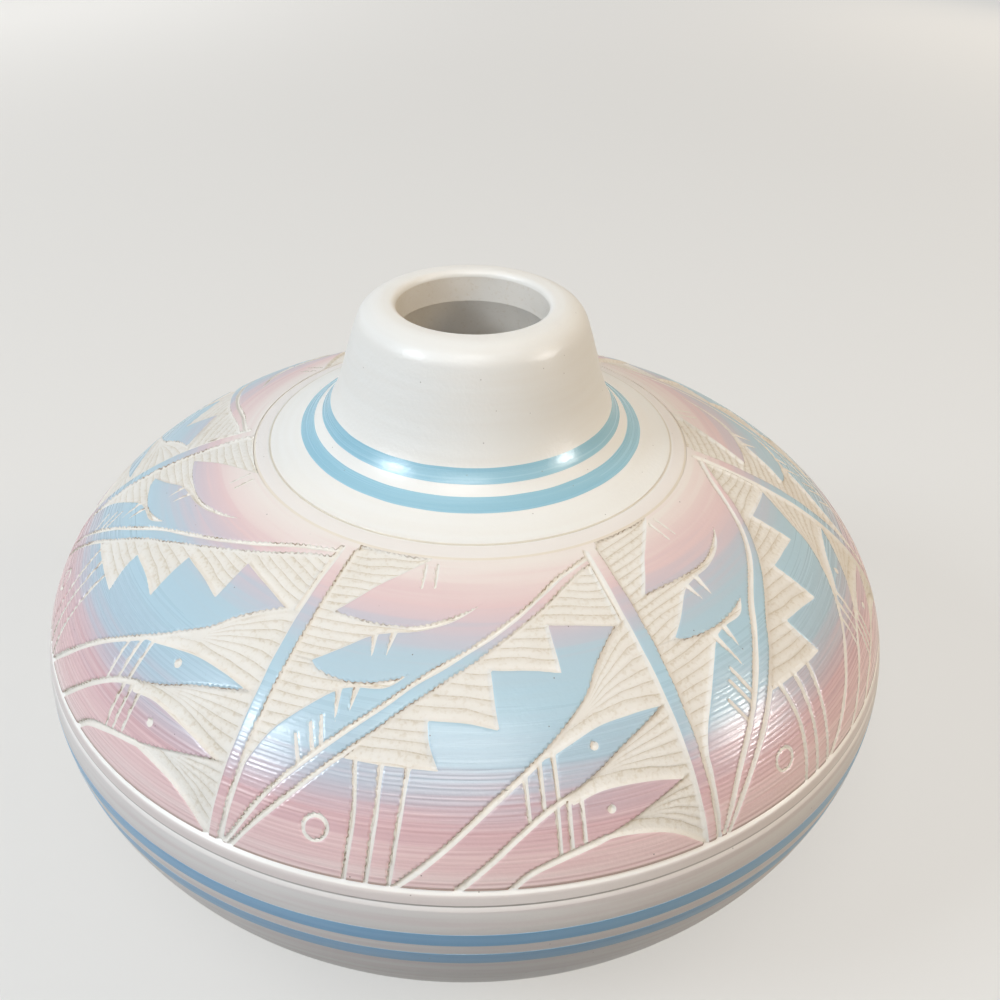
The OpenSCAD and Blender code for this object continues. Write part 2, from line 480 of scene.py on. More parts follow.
def lathe_tree() -> bpy.types.NodeTree:
    """Builds the tree that turns a row of section points about the axis into a closed ring.

    Returns:
        The tree, with the inputs Section, Steps and Material.
    """
    tree = bpy.data.node_groups.new("Turned ring", "GeometryNodeTree")
    tree.interface.new_socket("Section", in_out="INPUT", socket_type="NodeSocketGeometry")
    tree.interface.new_socket("Steps", in_out="INPUT", socket_type="NodeSocketInt")
    tree.interface.new_socket("Material", in_out="INPUT", socket_type="NodeSocketMaterial")
    tree.interface.new_socket("Ring", in_out="OUTPUT", socket_type="NodeSocketGeometry")
    board = Board(tree)
    given = board.add("NodeGroupInput")
    count = board.add("GeometryNodeAttributeDomainSize", {"Geometry": given.outputs["Section"]})
    rows = count.outputs["Point Count"]
    columns = board.sum("ADD", given.outputs["Steps"], 1.0)
    grid = board.add("GeometryNodeMeshGrid", {
        "Size X": 1.0, "Size Y": 1.0, "Vertices X": columns, "Vertices Y": rows})
    place = board.add("GeometryNodeInputPosition").outputs["Position"]
    parts = board.add("ShaderNodeSeparateXYZ", {"Vector": place})
    # The grid is 1 wide and lies about 0
    half = 0.5
    across = board.sum("ADD", parts.outputs["X"], half)
    down = board.sum("ADD", parts.outputs["Y"], half)
    last = board.sum("SUBTRACT", rows, 1.0)
    row = board.sum("ROUND", board.product(down, last))
    named = board.add("GeometryNodeStoreNamedAttribute", {
        "Geometry": grid.outputs["Mesh"], "Name": "row", "Value": board.sum("FLOORED_MODULO", row, last)},
        data_type="FLOAT", domain="POINT")
    point = board.add("GeometryNodeSampleIndex", {
        "Geometry": given.outputs["Section"], "Value": place, "Index": row},
        data_type="FLOAT_VECTOR", domain="POINT")
    turned = board.add("ShaderNodeVectorRotate", {
        "Vector": point.outputs["Value"], "Angle": board.product(across, FULL_TURN)},
        rotation_type="Z_AXIS")
    ring = board.add("GeometryNodeSetPosition", {
        "Geometry": named.outputs["Geometry"], "Position": turned.outputs["Vector"]})
    closed = board.add("GeometryNodeMergeByDistance", {
        "Geometry": ring.outputs["Geometry"], "Distance": WELD})
    real = board.add("GeometryNodeRealizeInstances", {"Geometry": closed.outputs["Geometry"]})
    dressed = board.add("GeometryNodeSetMaterial", {
        "Geometry": real.outputs["Geometry"], "Material": given.outputs["Material"]})
    board.add("NodeGroupOutput", {"Ring": dressed.outputs["Geometry"]})
    return tree


@dataclass
class Section:
    """Closed section of a ring, as rows from the outer face round its back.

    Args:
        points: Radius and height of each row.
        length: Distance of each row along the outside.
        outside: Whether each row lies on the outer face.
    """

    points: np.ndarray
    length: np.ndarray
    outside: np.ndarray

    @classmethod
    def between(cls, outline: Outline, lengths: np.ndarray, depth: float, back_rows: int = 9) -> "Section":
        """Section of a coat between two edges.

        Args:
            outline: Outside of the vase.
            lengths: Rows of the outer face, as distances along the outside.
            depth: Thickness of the coat.
            back_rows: Rows of its back.

        Returns:
            The section, whose last row closes it on the first.
        """
        back = np.linspace(lengths[-1], lengths[0], back_rows)
        face, _ = outline.surface(lengths)
        under, away = outline.surface(back)
        points = np.concatenate([face, under - depth * away, face[:1]])
        length = np.concatenate([lengths, back, lengths[:1]])
        outside = np.zeros(len(length), bool)
        outside[:len(lengths)] = True
        outside[-1] = True
        return cls(points, length, outside)


@dataclass
class Ring:
    """A turned piece that stands for the solid of the same name.

    Args:
        name: Name of the piece and of its solid.
        slot: Slot of the coat; not used.
        section: Its section.
        steps: Number of steps round it.
        crease: Angle between two faces past which the edge stays sharp.
        piece: The object, once it is turned.
        row: Row of the section that each of its points lies on.
    """

    name: str
    slot: str
    section: Section
    steps: int
    crease: float = math.radians(62.0)
    piece: bpy.types.Object | None = None
    row: np.ndarray = field(default_factory=lambda: np.zeros(0, int))

    def turn(self, tree: bpy.types.NodeTree, finish: bpy.types.Material) -> None:
        """Turns the section into a plain mesh with outward faces.

        Args:
            tree: The lathe's tree.
            finish: Material of the ring.
        """
        base = bpy.data.meshes.new(self.name + "_section")
        base.from_pydata([(r * MM, 0.0, z * MM) for r, z in self.section.points], [], [])
        piece = bpy.data.objects.new(self.name, base)
        bpy.context.scene.collection.objects.link(piece)
        lathe = piece.modifiers.new("Lathe", "NODES")
        lathe.node_group = tree
        sockets = tree.interface.items_tree
        inputs = {item.name: item.identifier for item in sockets if item.in_out == "INPUT"}
        lathe[inputs["Steps"]] = self.steps
        lathe[inputs["Material"]] = finish
        evaluated = piece.evaluated_get(bpy.context.evaluated_depsgraph_get())
        mesh = bpy.data.meshes.new_from_object(evaluated)
        piece.modifiers.remove(lathe)
        piece.data = mesh
        bpy.data.meshes.remove(base)
        mesh.name = self.name
        work = bmesh.new()
        work.from_mesh(mesh)
        bmesh.ops.recalc_face_normals(work, faces=work.faces)
        work.to_mesh(mesh)
        work.free()
        self.piece = piece
        rows = np.zeros(len(mesh.vertices), np.float32)
        mesh.attributes["row"].data.foreach_get("value", rows)
        self.row = np.rint(rows).astype(int)
        mesh.attributes.remove(mesh.attributes["row"])

    def places(self) -> tuple[np.ndarray, np.ndarray, np.ndarray]:
        """Where the ring's points lie on the vase.

        Returns:
            Angle round the vase from the front, distance along the outside, and whether on the face.
        """
        spots = self.spots()
        azimuth = np.arctan2(spots[:, 0], -spots[:, 1])
        return azimuth, self.section.length[self.row], self.section.outside[self.row]

    def spots(self) -> np.ndarray:
        """Points of the ring in millimetres."""
        mesh = self.piece.data
        spots = np.zeros(len(mesh.vertices) * 3, np.float32)
        mesh.vertices.foreach_get("co", spots)
        return spots.reshape(-1, 3).astype(float) / MM

    def place(self, azimuth: np.ndarray, profile: np.ndarray, chosen: np.ndarray) -> None:
        """Puts some of the ring's points at new radii and heights.

        Args:
            azimuth: Angle of each chosen point.
            profile: Radius and height of each chosen point.
            chosen: Which points are moved.
        """
        spots = self.spots()
        spots[chosen] = np.stack([profile[:, 0] * np.sin(azimuth), -profile[:, 0] * np.cos(azimuth),
                                  profile[:, 1]], axis=1)
        mesh = self.piece.data
        mesh.vertices.foreach_set("co", (spots * MM).astype(np.float32).ravel())
        mesh.update()

    def note(self, name: str, values: np.ndarray) -> None:
        """Keeps a number at each point of the ring for its finish."""
        mesh = self.piece.data
        mesh.attributes.new(name, "FLOAT", "POINT").data.foreach_set("value", values.astype(np.float32))

    def hand_over(self) -> None:
        """Smooths the ring up to its creases and puts it on the frame."""
        mesh = self.piece.data
        mesh.polygons.foreach_set("use_smooth", [True] * len(mesh.polygons))
        mesh.set_sharp_from_angle(angle=self.crease)
        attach(self.piece, "root")
        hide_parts(self.name)
        triangles = sum(len(face.vertices) - 2 for face in mesh.polygons)
        log.info("%s: %d triangles, in place of its solid", self.name, triangles)


# The carving

@dataclass(frozen=True)
class Stroke:
    """A line that is cut through the coat, in shares of the panel across and down.

    Args:
        path: Points that it runs through.
        widths: Its width in millimetres where it starts and where it ends.
    """

    path: Path
    widths: Point


@dataclass(frozen=True)
class Guide:
    """A line across the panel that one of an area's tool strips ends on.

    Args:
        path: Points of the line, in shares of the panel across and down.
        count: Number of strips between the area's first guide and this one.
    """

    path: Path
    count: int

    def above(self, share: float, strips: int) -> "Guide":
        """A guide that lies a share of the panel higher, some strips on."""
        return Guide(tuple((across, down - share) for across, down in self.path), self.count + strips)


@dataclass(frozen=True)
class Area:
    """An area that is cut away in strips, in shares of the panel across and down.

    Args:
        runs: Smooth runs of its edge, which meet at corners.
        guides: Lines that its strips lie between, from the lowest up.
    """

    runs: tuple[Path, ...]
    guides: tuple[Guide, ...]

    def border(self) -> np.ndarray:
        """The area's whole edge as one path."""
        return np.concatenate([smooth_path(run) for run in self.runs])


def smooth_path(points: Sequence[Point], spans: int = 6) -> np.ndarray:
    """A smooth path through a few points.

    Args:
        points: The points.
        spans: Straight pieces between one point and the next.

    Returns:
        The path as rows of two numbers.
    """
    knots = np.array(points, float)
    if len(knots) < 3:
        return knots
    ends = np.concatenate([[2 * knots[0] - knots[1]], knots, [2 * knots[-1] - knots[-2]]])
    path = []
    for index in range(len(knots) - 1):
        before, start, end, after = ends[index:index + 4]
        for step in range(spans):
            t = step / spans
            bend = 2 * before - 5 * start + 4 * end - after
            twist = 3 * start - before - 3 * end + after
            path.append(0.5 * (2 * start + (end - before) * t + bend * t ** 2 + twist * t ** 3))
    path.append(knots[-1])
    return np.array(path)


@dataclass
class Spread:
    """Places on the coloured zone, as shares of their panel and the millimetres of a share.

    Args:
        across: Share of the panel from its left divider to the next.
        down: Share of the zone from its upper line to its lower one.
        wide: Millimetres round the vase that one panel takes at each place.
        tall: Millimetres along the outside that the zone takes.
    """

    across: np.ndarray
    down: np.ndarray
    wide: np.ndarray
    tall: float

    def near(self, path: np.ndarray, reach: float) -> np.ndarray:
        """Which places lie within a reach of a path's box."""
        low, high = path.min(axis=0), path.max(axis=0)
        side = reach / self.wide
        inside = (self.across > low[0] - side) & (self.across < high[0] + side)
        rise = reach / self.tall
        return inside & (self.down > low[1] - rise) & (self.down < high[1] + rise)

    def distance(self, path: np.ndarray, widths: np.ndarray | None = None,
                 reach: float = 2.5) -> np.ndarray:
        """Distance from each place to a path, less half the path's width there.

        Args:
            path: Points of the path.
            widths: Width of the path at each of its points, none if left out.
            reach: Distance past which a place counts as far.

        Returns:
            Distances in millimetres.
        """
        result = np.full(len(self.across), FAR)
        chosen = np.flatnonzero(self.near(path, reach))
        if not len(chosen):
            return result
        across, down, wide = self.across[chosen], self.down[chosen], self.wide[chosen]
        best = np.full(len(chosen), FAR)
        half = np.zeros(len(path)) if widths is None else widths / 2
        for index in range(len(path) - 1):
            run = (path[index + 1] - path[index])
            step_x, step_y = run[0] * wide, run[1] * self.tall
            off_x = (across - path[index][0]) * wide
            off_y = (down - path[index][1]) * self.tall
            along = off_x * step_x + off_y * step_y
            share = np.clip(along / (step_x ** 2 + step_y ** 2 + TINY), 0, 1)
            gap = np.hypot(off_x - share * step_x, off_y - share * step_y)
            best = np.minimum(best, gap - half[index] - share * (half[index + 1] - half[index]))
        result[chosen] = best
        return result

    def level(self, path: Path) -> np.ndarray:
        """How far down a line lies that runs across the panel, at each place's own share across."""
        line = np.array(path if path[0][0] < path[-1][0] else path[::-1])
        return np.interp(self.across, line[:, 0], line[:, 1])

    def inside(self, path: np.ndarray) -> np.ndarray:
        """Which places a closed path goes round."""
        odd = np.zeros(len(self.across), bool)
        for start, end in zip(path, np.roll(path, -1, axis=0)):
            spans = (start[1] > self.down) != (end[1] > self.down)
            rise = end[1] - start[1]
            reach = start[0] + (self.down - start[1]) * (end[0] - start[0]) / (rise if rise else TINY)
            odd ^= spans & (self.across < reach)
        return odd


@dataclass(frozen=True)
class PanelDesign:
    """One panel of the carved shoulder.

    It has a barbed divider, a slanting pair of lines with steps under it, and a feather. Points are
    shares of the panel across and down, and widths are in millimetres where a line starts and ends.
    """

    edge_w: Point = (1.0, 1.0)
    line_w: Point = (0.85, 0.85)
    stem_w: Point = (0.85, 1.0)
    hanging_w: Point = (0.75, 0.75)
    feather_tick_w: Point = (0.75, 0.55)
    spike_w: Point = (1.0, 0.1)
    line_tick_w: Point = (0.5, 0.6)
    top_tick_w: Point = (0.45, 0.3)
    eye_w: Point = (1.3, 1.3)
    ring_r: float = 1.75
    ring_w: float = 0.55
    ring_reach: float = 4.0
    ledge: float = 0.045
    step_strips: int = 4
    top_rise: float = 0.15
    top_strips: int = 5
    ring_at: Point = (0.21, 0.868)
    eyes: Path = ((0.785, 0.628), (0.796, 0.81))
    left_edge: Path = ((0.045, 0.03), (0.035, 0.35), (0.028, 0.55), (0.022, 0.8), (0.016, 1.0))
    right_edge: Path = ((0.982, 0.03), (0.978, 0.3), (0.984, 0.6), (0.985, 1.0))
    upper_line: Path = ((0.97, 0.048), (0.9, 0.07), (0.8, 0.113), (0.6, 0.25), (0.4, 0.397), (0.3, 0.503),
                        (0.2, 0.628), (0.1, 0.797), (0.03, 0.99))
    lower_line: Path = ((0.97, 0.08), (0.9, 0.103), (0.8, 0.16), (0.6, 0.297), (0.4, 0.462), (0.3, 0.573),
                        (0.2, 0.703), (0.1, 0.872), (0.04, 1.0))
    long_stem: Path = ((0.95, 0.3), (0.9, 0.347), (0.85, 0.405), (0.8, 0.487), (0.72, 0.58), (0.65, 0.655),
                       (0.55, 0.765), (0.45, 0.9), (0.375, 1.0))
    middle_stem: Path = ((0.72, 0.75), (0.66, 0.793), (0.6, 0.857), (0.55, 0.922), (0.49, 1.0))
    short_stem: Path = ((0.78, 0.885), (0.7, 0.917), (0.63, 0.955), (0.59, 1.0))
    first_eye_top: Path = ((0.985, 0.575), (0.95, 0.568), (0.89, 0.566), (0.8, 0.58), (0.69, 0.638))
    first_eye_low: Path = ((0.985, 0.56), (0.95, 0.58), (0.85, 0.645), (0.78, 0.7), (0.7, 0.758))
    second_eye_top: Path = ((0.985, 0.795), (0.955, 0.785), (0.9, 0.765), (0.84, 0.755), (0.78, 0.757),
                            (0.72, 0.78))
    second_eye_low: Path = ((0.985, 0.775), (0.955, 0.788), (0.9, 0.818), (0.82, 0.86), (0.74, 0.9))
    lobe_top: Path = ((0.985, 1.0), (0.94, 0.948), (0.9, 0.918), (0.85, 0.9), (0.79, 0.892), (0.74, 0.905))
    hanging_lines: tuple[Path, ...] = (
        ((0.265, 0.665), (0.281, 0.8), (0.277, 1.0)), ((0.322, 0.665), (0.326, 0.8), (0.319, 1.0)),
        ((0.38, 0.67), (0.374, 0.8), (0.362, 1.0)))
    feather_ticks: tuple[Path, ...] = (
        ((0.625, 0.69), (0.629, 0.812)), ((0.658, 0.655), (0.66, 0.79)), ((0.69, 0.638), (0.69, 0.77)),
        ((0.685, 0.78), (0.685, 0.913)), ((0.71, 0.77), (0.708, 0.9)), ((0.737, 0.765), (0.735, 0.885)))
    barb_spikes: tuple[Path, ...] = (
        ((0.232, 0.285), (0.243, 0.362)), ((0.287, 0.272), (0.281, 0.352)),
        ((0.185, 0.475), (0.2, 0.57)), ((0.228, 0.46), (0.226, 0.535)))
    line_ticks: tuple[Path, ...] = (
        ((0.12, 0.632), (0.147, 0.71)), ((0.145, 0.588), (0.172, 0.675)), ((0.165, 0.562), (0.186, 0.65)))
    top_ticks: tuple[Path, ...] = (((0.338, 0.03), (0.34, 0.115)), ((0.383, 0.025), (0.385, 0.108)))

    def strokes(self) -> list[Stroke]:
        """All cut lines of the panel.

        Returns:
            The lines beside the dividers, the slanting pair, the feather's stems, the ticks and the eyes.
        """
        kinds = (
            (self.edge_w, (self.left_edge, self.right_edge)),
            (self.line_w, (self.upper_line, self.lower_line)),
            (self.stem_w, (self.long_stem, self.middle_stem, self.short_stem)),
            (self.hanging_w, self.hanging_lines),
            (self.feather_tick_w, self.feather_ticks),
            (self.spike_w, self.barb_spikes),
            (self.line_tick_w, self.line_ticks),
            (self.top_tick_w, self.top_ticks),
            (self.eye_w, tuple((eye, eye) for eye in self.eyes)),
        )
        return [Stroke(path, widths) for widths, paths in kinds for path in paths]

    def areas(self) -> list[Area]:
        """All carved areas of the panel."""
        return self.barbs() + [self.steps()] + self.feather()

    def barbs(self) -> list[Area]:
        """Carved areas beside the divider.

        Returns:
            Three barbs from the top down, with their points to the right.
        """
        first_low = ((0.03, 0.235), (0.09, 0.245), (0.2, 0.252), (0.3, 0.25), (0.37, 0.237), (0.45, 0.207),
                     (0.56, 0.155))
        second_low = ((0.56, 0.155), (0.46, 0.22), (0.36, 0.262), (0.28, 0.278), (0.22, 0.3), (0.16, 0.35),
                      (0.085, 0.415))
        third_top = ((0.085, 0.415), (0.12, 0.436), (0.2, 0.447), (0.28, 0.432), (0.355, 0.398))
        third_low = ((0.355, 0.398), (0.3, 0.448), (0.22, 0.462), (0.17, 0.492), (0.1, 0.578), (0.06, 0.65),
                     (0.035, 0.73), (0.025, 0.8))
        lens_edge = ((0.09, 0.243), (0.15, 0.17), (0.2, 0.118), (0.27, 0.062), (0.36, 0.0))
        first_left = (((0.045, 0.0), (0.035, 0.275)), ((0.035, 0.275), (0.085, 0.275)),
                      ((0.085, 0.275), (0.09, 0.243)))
        second_left = (((0.085, 0.415), (0.08, 0.445)), ((0.08, 0.445), (0.03, 0.445)),
                       ((0.03, 0.445), (0.03, 0.235)))
        third_left = (((0.025, 0.8), (0.022, 0.8)), ((0.022, 0.8), (0.03, 0.41)),
                      ((0.03, 0.41), (0.085, 0.415)))
        first_strips = self.even(((-0.1, 0.265), (0.4, 0.205)), rise=0.3, strips=10)
        second_strips = self.even(((-0.1, 0.44), (0.6, 0.38)), rise=0.3, strips=10)
        third_strips = self.even(((-0.1, 0.83), (0.5, 0.77)), rise=0.45, strips=14)
        return [Area((*first_left, lens_edge), first_strips),
                Area((second_low, *second_left, first_low), second_strips),
                Area((third_low, *third_left, third_top), third_strips)]

    @staticmethod
    def even(line: Path, rise: float, strips: int) -> tuple[Guide, ...]:
        """Guides of even strips over a line."""
        first = Guide(line, 0)
        return (first, first.above(rise, strips))

    def fan(self, near: Path, far: Path, strips: int) -> tuple[Guide, ...]:
        """Guides of strips that fan out between two lines, with a clean strip beside the lower one."""
        first = Guide(near, 0)
        return (first, first.above(self.ledge, 1), Guide(far, 1 + strips))

    def steps(self) -> Area:
        """Carved area under the slanting pair of lines.

        Returns:
            The area, whose lower edge goes down in three steps.
        """
        tread_top = ((0.97, 0.302), (0.95, 0.3), (0.85, 0.272), (0.745, 0.25))
        tread_first = ((0.748, 0.405), (0.66, 0.385), (0.565, 0.378))
        tread_second = ((0.578, 0.555), (0.5, 0.532), (0.412, 0.528))
        tread_last = ((0.445, 0.668), (0.35, 0.664), (0.235, 0.664))
        risers = (((0.745, 0.25), (0.748, 0.405)), ((0.565, 0.378), (0.569, 0.46), (0.578, 0.555)),
                  ((0.412, 0.528), (0.42, 0.59), (0.445, 0.668)))
        back = ((0.235, 0.664), (0.3, 0.573), (0.4, 0.462), (0.6, 0.297), (0.8, 0.16), (0.9, 0.103),
                (0.97, 0.08))
        runs = (tread_top, risers[0], tread_first, risers[1], tread_second, risers[2], tread_last, back)
        guides = []
        for index, tread in enumerate((tread_last, tread_second, tread_first, tread_top)):
            guides.append(Guide(tread, self.step_strips * index))
            guides.append(guides[-1].above(self.ledge, 1))
        guides.append(guides[-1].above(self.top_rise, self.top_strips))
        return Area(runs, tuple(guides))

    def feather(self) -> list[Area]:
        """Carved areas between the eyes and the next divider.

        Returns:
            Three parts of the feather from the top down.
        """
        stem = ((0.985, 0.28), (0.95, 0.3), (0.9, 0.347), (0.85, 0.405), (0.8, 0.487), (0.72, 0.58),
                (0.66, 0.648))
        first_end = ((0.66, 0.648), (0.69, 0.638))
        second_end = ((0.7, 0.758), (0.72, 0.78))
        return [Area((stem, first_end, self.first_eye_top[::-1]),
                     self.fan(self.first_eye_top, stem, strips=6)),
                Area((self.first_eye_low, second_end, self.second_eye_top[::-1]),
                     self.fan(self.second_eye_top, self.first_eye_low, strips=5)),
                Area((self.second_eye_low, self.lobe_top[::-1]),
                     self.fan(self.lobe_top, self.second_eye_low, strips=5))]


@dataclass
class Carving:
    """The carved pattern on the coloured zone, as cuts that go through the coat.

    Each cut is steep and ragged on its upper left side and runs out cleanly on its lower right side.

    Args:
        outline: Outside of the vase.
        low: Lower edge of the zone along the outside.
        high: Upper edge of the zone along the outside.
        design: The panel that is repeated round the vase.
        dividers: Angles of the dividers from the front, spaced by hand.
        depth: Depth of the cuts in millimetres.
        steep_wall: Width of a cut's steep side.
        easy_wall: Width of a cut's clean side.
        strip_rise: How much each tool strip slopes.
        margin: How far past an area's edge its strips are counted.
        least_rise: Least share of the panel between two guides.
        fade: Width beside an area's edge over which its strips fade.
        clear_w: Widths of a strip at which it starts to show and shows in full.
        bead: Spacing of the crumbs along a ragged edge.
        probe: Reach of the look to each side that finds which way an edge faces.
        ragged: How far an upper edge and a left edge count as ragged.
        sway: Unevenness of the hand.
        edge_sway: How far that moves an edge, in millimetres.
        strip_sway: How far it moves a strip, in strips.
        slips: How far each panel's drawing lies off at its middle, in shares across and down.
        lifts: How far each panel's barbs lie off, in shares down.
        lift_side: Shares across between which the lift sets in.
        lift_height: Shares down between which it sets in.
        leans: How far the lower part of each panel's drawing lies off, in shares across.
        lean_height: Shares down between which the lean sets in.
    """

    outline: Outline
    low: float
    high: float
    design: PanelDesign = field(default_factory=PanelDesign)
    dividers: tuple[float, ...] = (-90.5, -28.2, 27.6, 82.0, 144.5, 207.0)
    depth: float = 0.4
    steep_wall: float = 0.16
    easy_wall: float = 0.42
    strip_rise: float = 0.1
    margin: float = 0.5
    least_rise: float = 0.001
    fade: float = 0.35
    clear_w: Point = (0.3, 0.7)
    bead: float = 1.0
    probe: float = 0.12
    ragged: Point = (0.9, 0.7)
    sway: Ripple = Ripple(9.0, 12)
    edge_sway: float = 0.03
    strip_sway: float = 0.06
    slips: tuple[Point, ...] = ((-0.015, -0.045), (0.0, 0.0), (0.025, 0.05), (0.01, -0.02), (-0.02, 0.03),
                                (0.015, 0.02))
    lifts: tuple[float, ...] = (0.0, 0.0, -0.1, 0.02, -0.03, 0.015)
    lift_side: Point = (0.7, 0.1)
    lift_height: Point = (0.85, 0.35)
    leans: tuple[float, ...] = (0.0, 0.0, 0.036, 0.01, -0.015, 0.01)
    lean_height: Point = (0.15, 0.7)

    def down(self, length: np.ndarray) -> np.ndarray:
        """Shares of the zone from its upper line to its lower one."""
        return (self.high - length) / (self.high - self.low)

    def spread(self, azimuth: np.ndarray, length: np.ndarray) -> Spread:
        """Places as shares of their panel, with the slips of the hand that drew it.

        Args:
            azimuth: Angles round the vase.
            length: Distances along the outside.

        Returns:
            The places in panel shares.
        """
        starts = np.radians(self.dividers)
        ends = np.append(starts[1:], starts[0] + FULL_TURN)
        turned = np.mod(azimuth - starts[0], FULL_TURN) + starts[0]
        panel = np.clip(np.searchsorted(starts, turned, side="right") - 1, 0, len(starts) - 1)
        across = (turned - starts[panel]) / (ends - starts)[panel]
        down = self.down(length)
        middle = swell(across) * swell(down)
        slip = np.array(self.slips)[panel] * middle[:, None]
        lifted = smooth_step(across, *self.lift_side) * smooth_step(down, *self.lift_height)
        slip[:, 0] += np.array(self.leans)[panel] * middle * smooth_step(down, *self.lean_height)
        slip[:, 1] += np.array(self.lifts)[panel] * middle * lifted
        radius = self.outline.at(self.outline.station(length))[:, 0]
        return Spread(across - slip[:, 0], down - slip[:, 1], radius * (ends - starts)[panel],
                      self.high - self.low)

    def edge(self, spread: Spread) -> np.ndarray:
        """How far each place lies outside the nearest cut, below 0 in a cut.

        Args:
            spread: Places in panel shares.

        Returns:
            Distances in millimetres.
        """
        design = self.design
        edge = np.full(len(spread.across), FAR)
        for area in design.areas():
            border = area.border()
            gap = spread.distance(np.concatenate([border, border[:1]]))
            edge = np.minimum(edge, np.where(spread.inside(border), -gap, gap))
        for stroke in design.strokes():
            path = smooth_path(stroke.path)
            edge = np.minimum(edge, spread.distance(path, np.linspace(*stroke.widths, len(path))))
        centre = np.array([design.ring_at, design.ring_at])
        circle = np.abs(spread.distance(centre, reach=design.ring_reach) - design.ring_r)
        return np.minimum(edge, circle - design.ring_w / 2)

    def rim(self, spread: Spread, edge: np.ndarray) -> np.ndarray:
        """How far the nearest edge is an upper left one, from 0 to 1.

        Args:
            spread: Places in panel shares.
            edge: Distance of each place from the nearest cut.

        Returns:
            One share for each place.
        """
        upper, left = self.ragged
        below = replace(spread, down=spread.down + self.probe / spread.tall)
        beside = replace(spread, across=spread.across + self.probe / spread.wide)
        fall = (edge - self.edge(below)) / self.probe
        slide = (edge - self.edge(beside)) / self.probe
        return np.clip(upper * fall + left * slide, 0, 1)

    def strips(self, spread: Spread) -> tuple[np.ndarray, np.ndarray]:
        """Number of tool strips from an area's first edge to each place, and how clearly they show.

        Args:
            spread: Places in panel shares.

        Returns:
            A number for each place, and a share that is 0 outside the areas and where strips run together.
        """
        narrow, broad = self.clear_w
        count, clear = np.zeros((2, len(spread.across)))
        taken = np.zeros(len(spread.across), bool)
        for area in self.design.areas():
            border = area.border()
            gap = spread.distance(np.concatenate([border, border[:1]]))
            inside = spread.inside(border)
            number, width = np.zeros((2, len(spread.across)))
            for lower, upper in zip(area.guides, area.guides[1:]):
                level = spread.level(lower.path)
                rise = np.maximum(level - spread.level(upper.path), self.least_rise)
                share = (level - spread.down) / rise
                strips = upper.count - lower.count
                above = (share > 0) | (lower is area.guides[0])
                number = np.where(above, lower.count + strips * share, number)
                width = np.where(above, rise * spread.tall / strips, width)
            count = np.where(inside | ((gap < self.margin) & ~taken), number, count)
            faded = np.clip(gap / self.fade, 0, 1)
            shown = np.clip((width - narrow) / (broad - narrow), 0, 1)
            clear = np.where(inside, shown * faded, np.minimum(clear, faded))
            taken |= inside
        return count, clear

    def carve(self, ring: Ring) -> None:
        """Cuts the pattern into a ring's face and keeps the cuts for its finish.

        Args:
            ring: A coat of the coloured zone.
        """
        azimuth, length, face = ring.places()
        spread = self.spread(azimuth, length)
        sway = self.sway.value(azimuth, length)
        edge = self.edge(spread)
        rim = self.rim(spread, edge)
        edge = edge + self.edge_sway * sway
        strips, clear = self.strips(spread)
        strips = strips + self.strip_sway * sway
        wall = self.easy_wall + (self.steep_wall - self.easy_wall) * rim
        slope = clear * np.mod(strips, 1.0) * np.clip(-edge / self.easy_wall, 0, 1)
        floor = self.depth * smooth_step(-edge, 0, wall) + self.strip_rise * slope
        points, away = self.outline.surface(length)
        carved = points - floor[:, None] * away
        ring.place(azimuth[face], carved[face], face)
        ring.note("cut", np.where(face, edge, FAR))
        ring.note("rim", np.where(face, rim, 0.0))
        ring.note("strips", strips)
        ring.note("clear", clear)
        ring.note("bead", (spread.across * spread.wide - spread.down * spread.tall) / self.bead)
        ring.note("zone", self.down(length))


# The finishes

@dataclass(frozen=True)
class RoundNoise:
    """Noise that is drawn out round the vase.

    Args:
        around: How fast it changes round the vase, per metre.
        pace: How fast it changes along the outside, as a share of the brush's fineness.
        detail: Levels of finer noise in it.
    """

    around: float
    pace: float
    detail: float


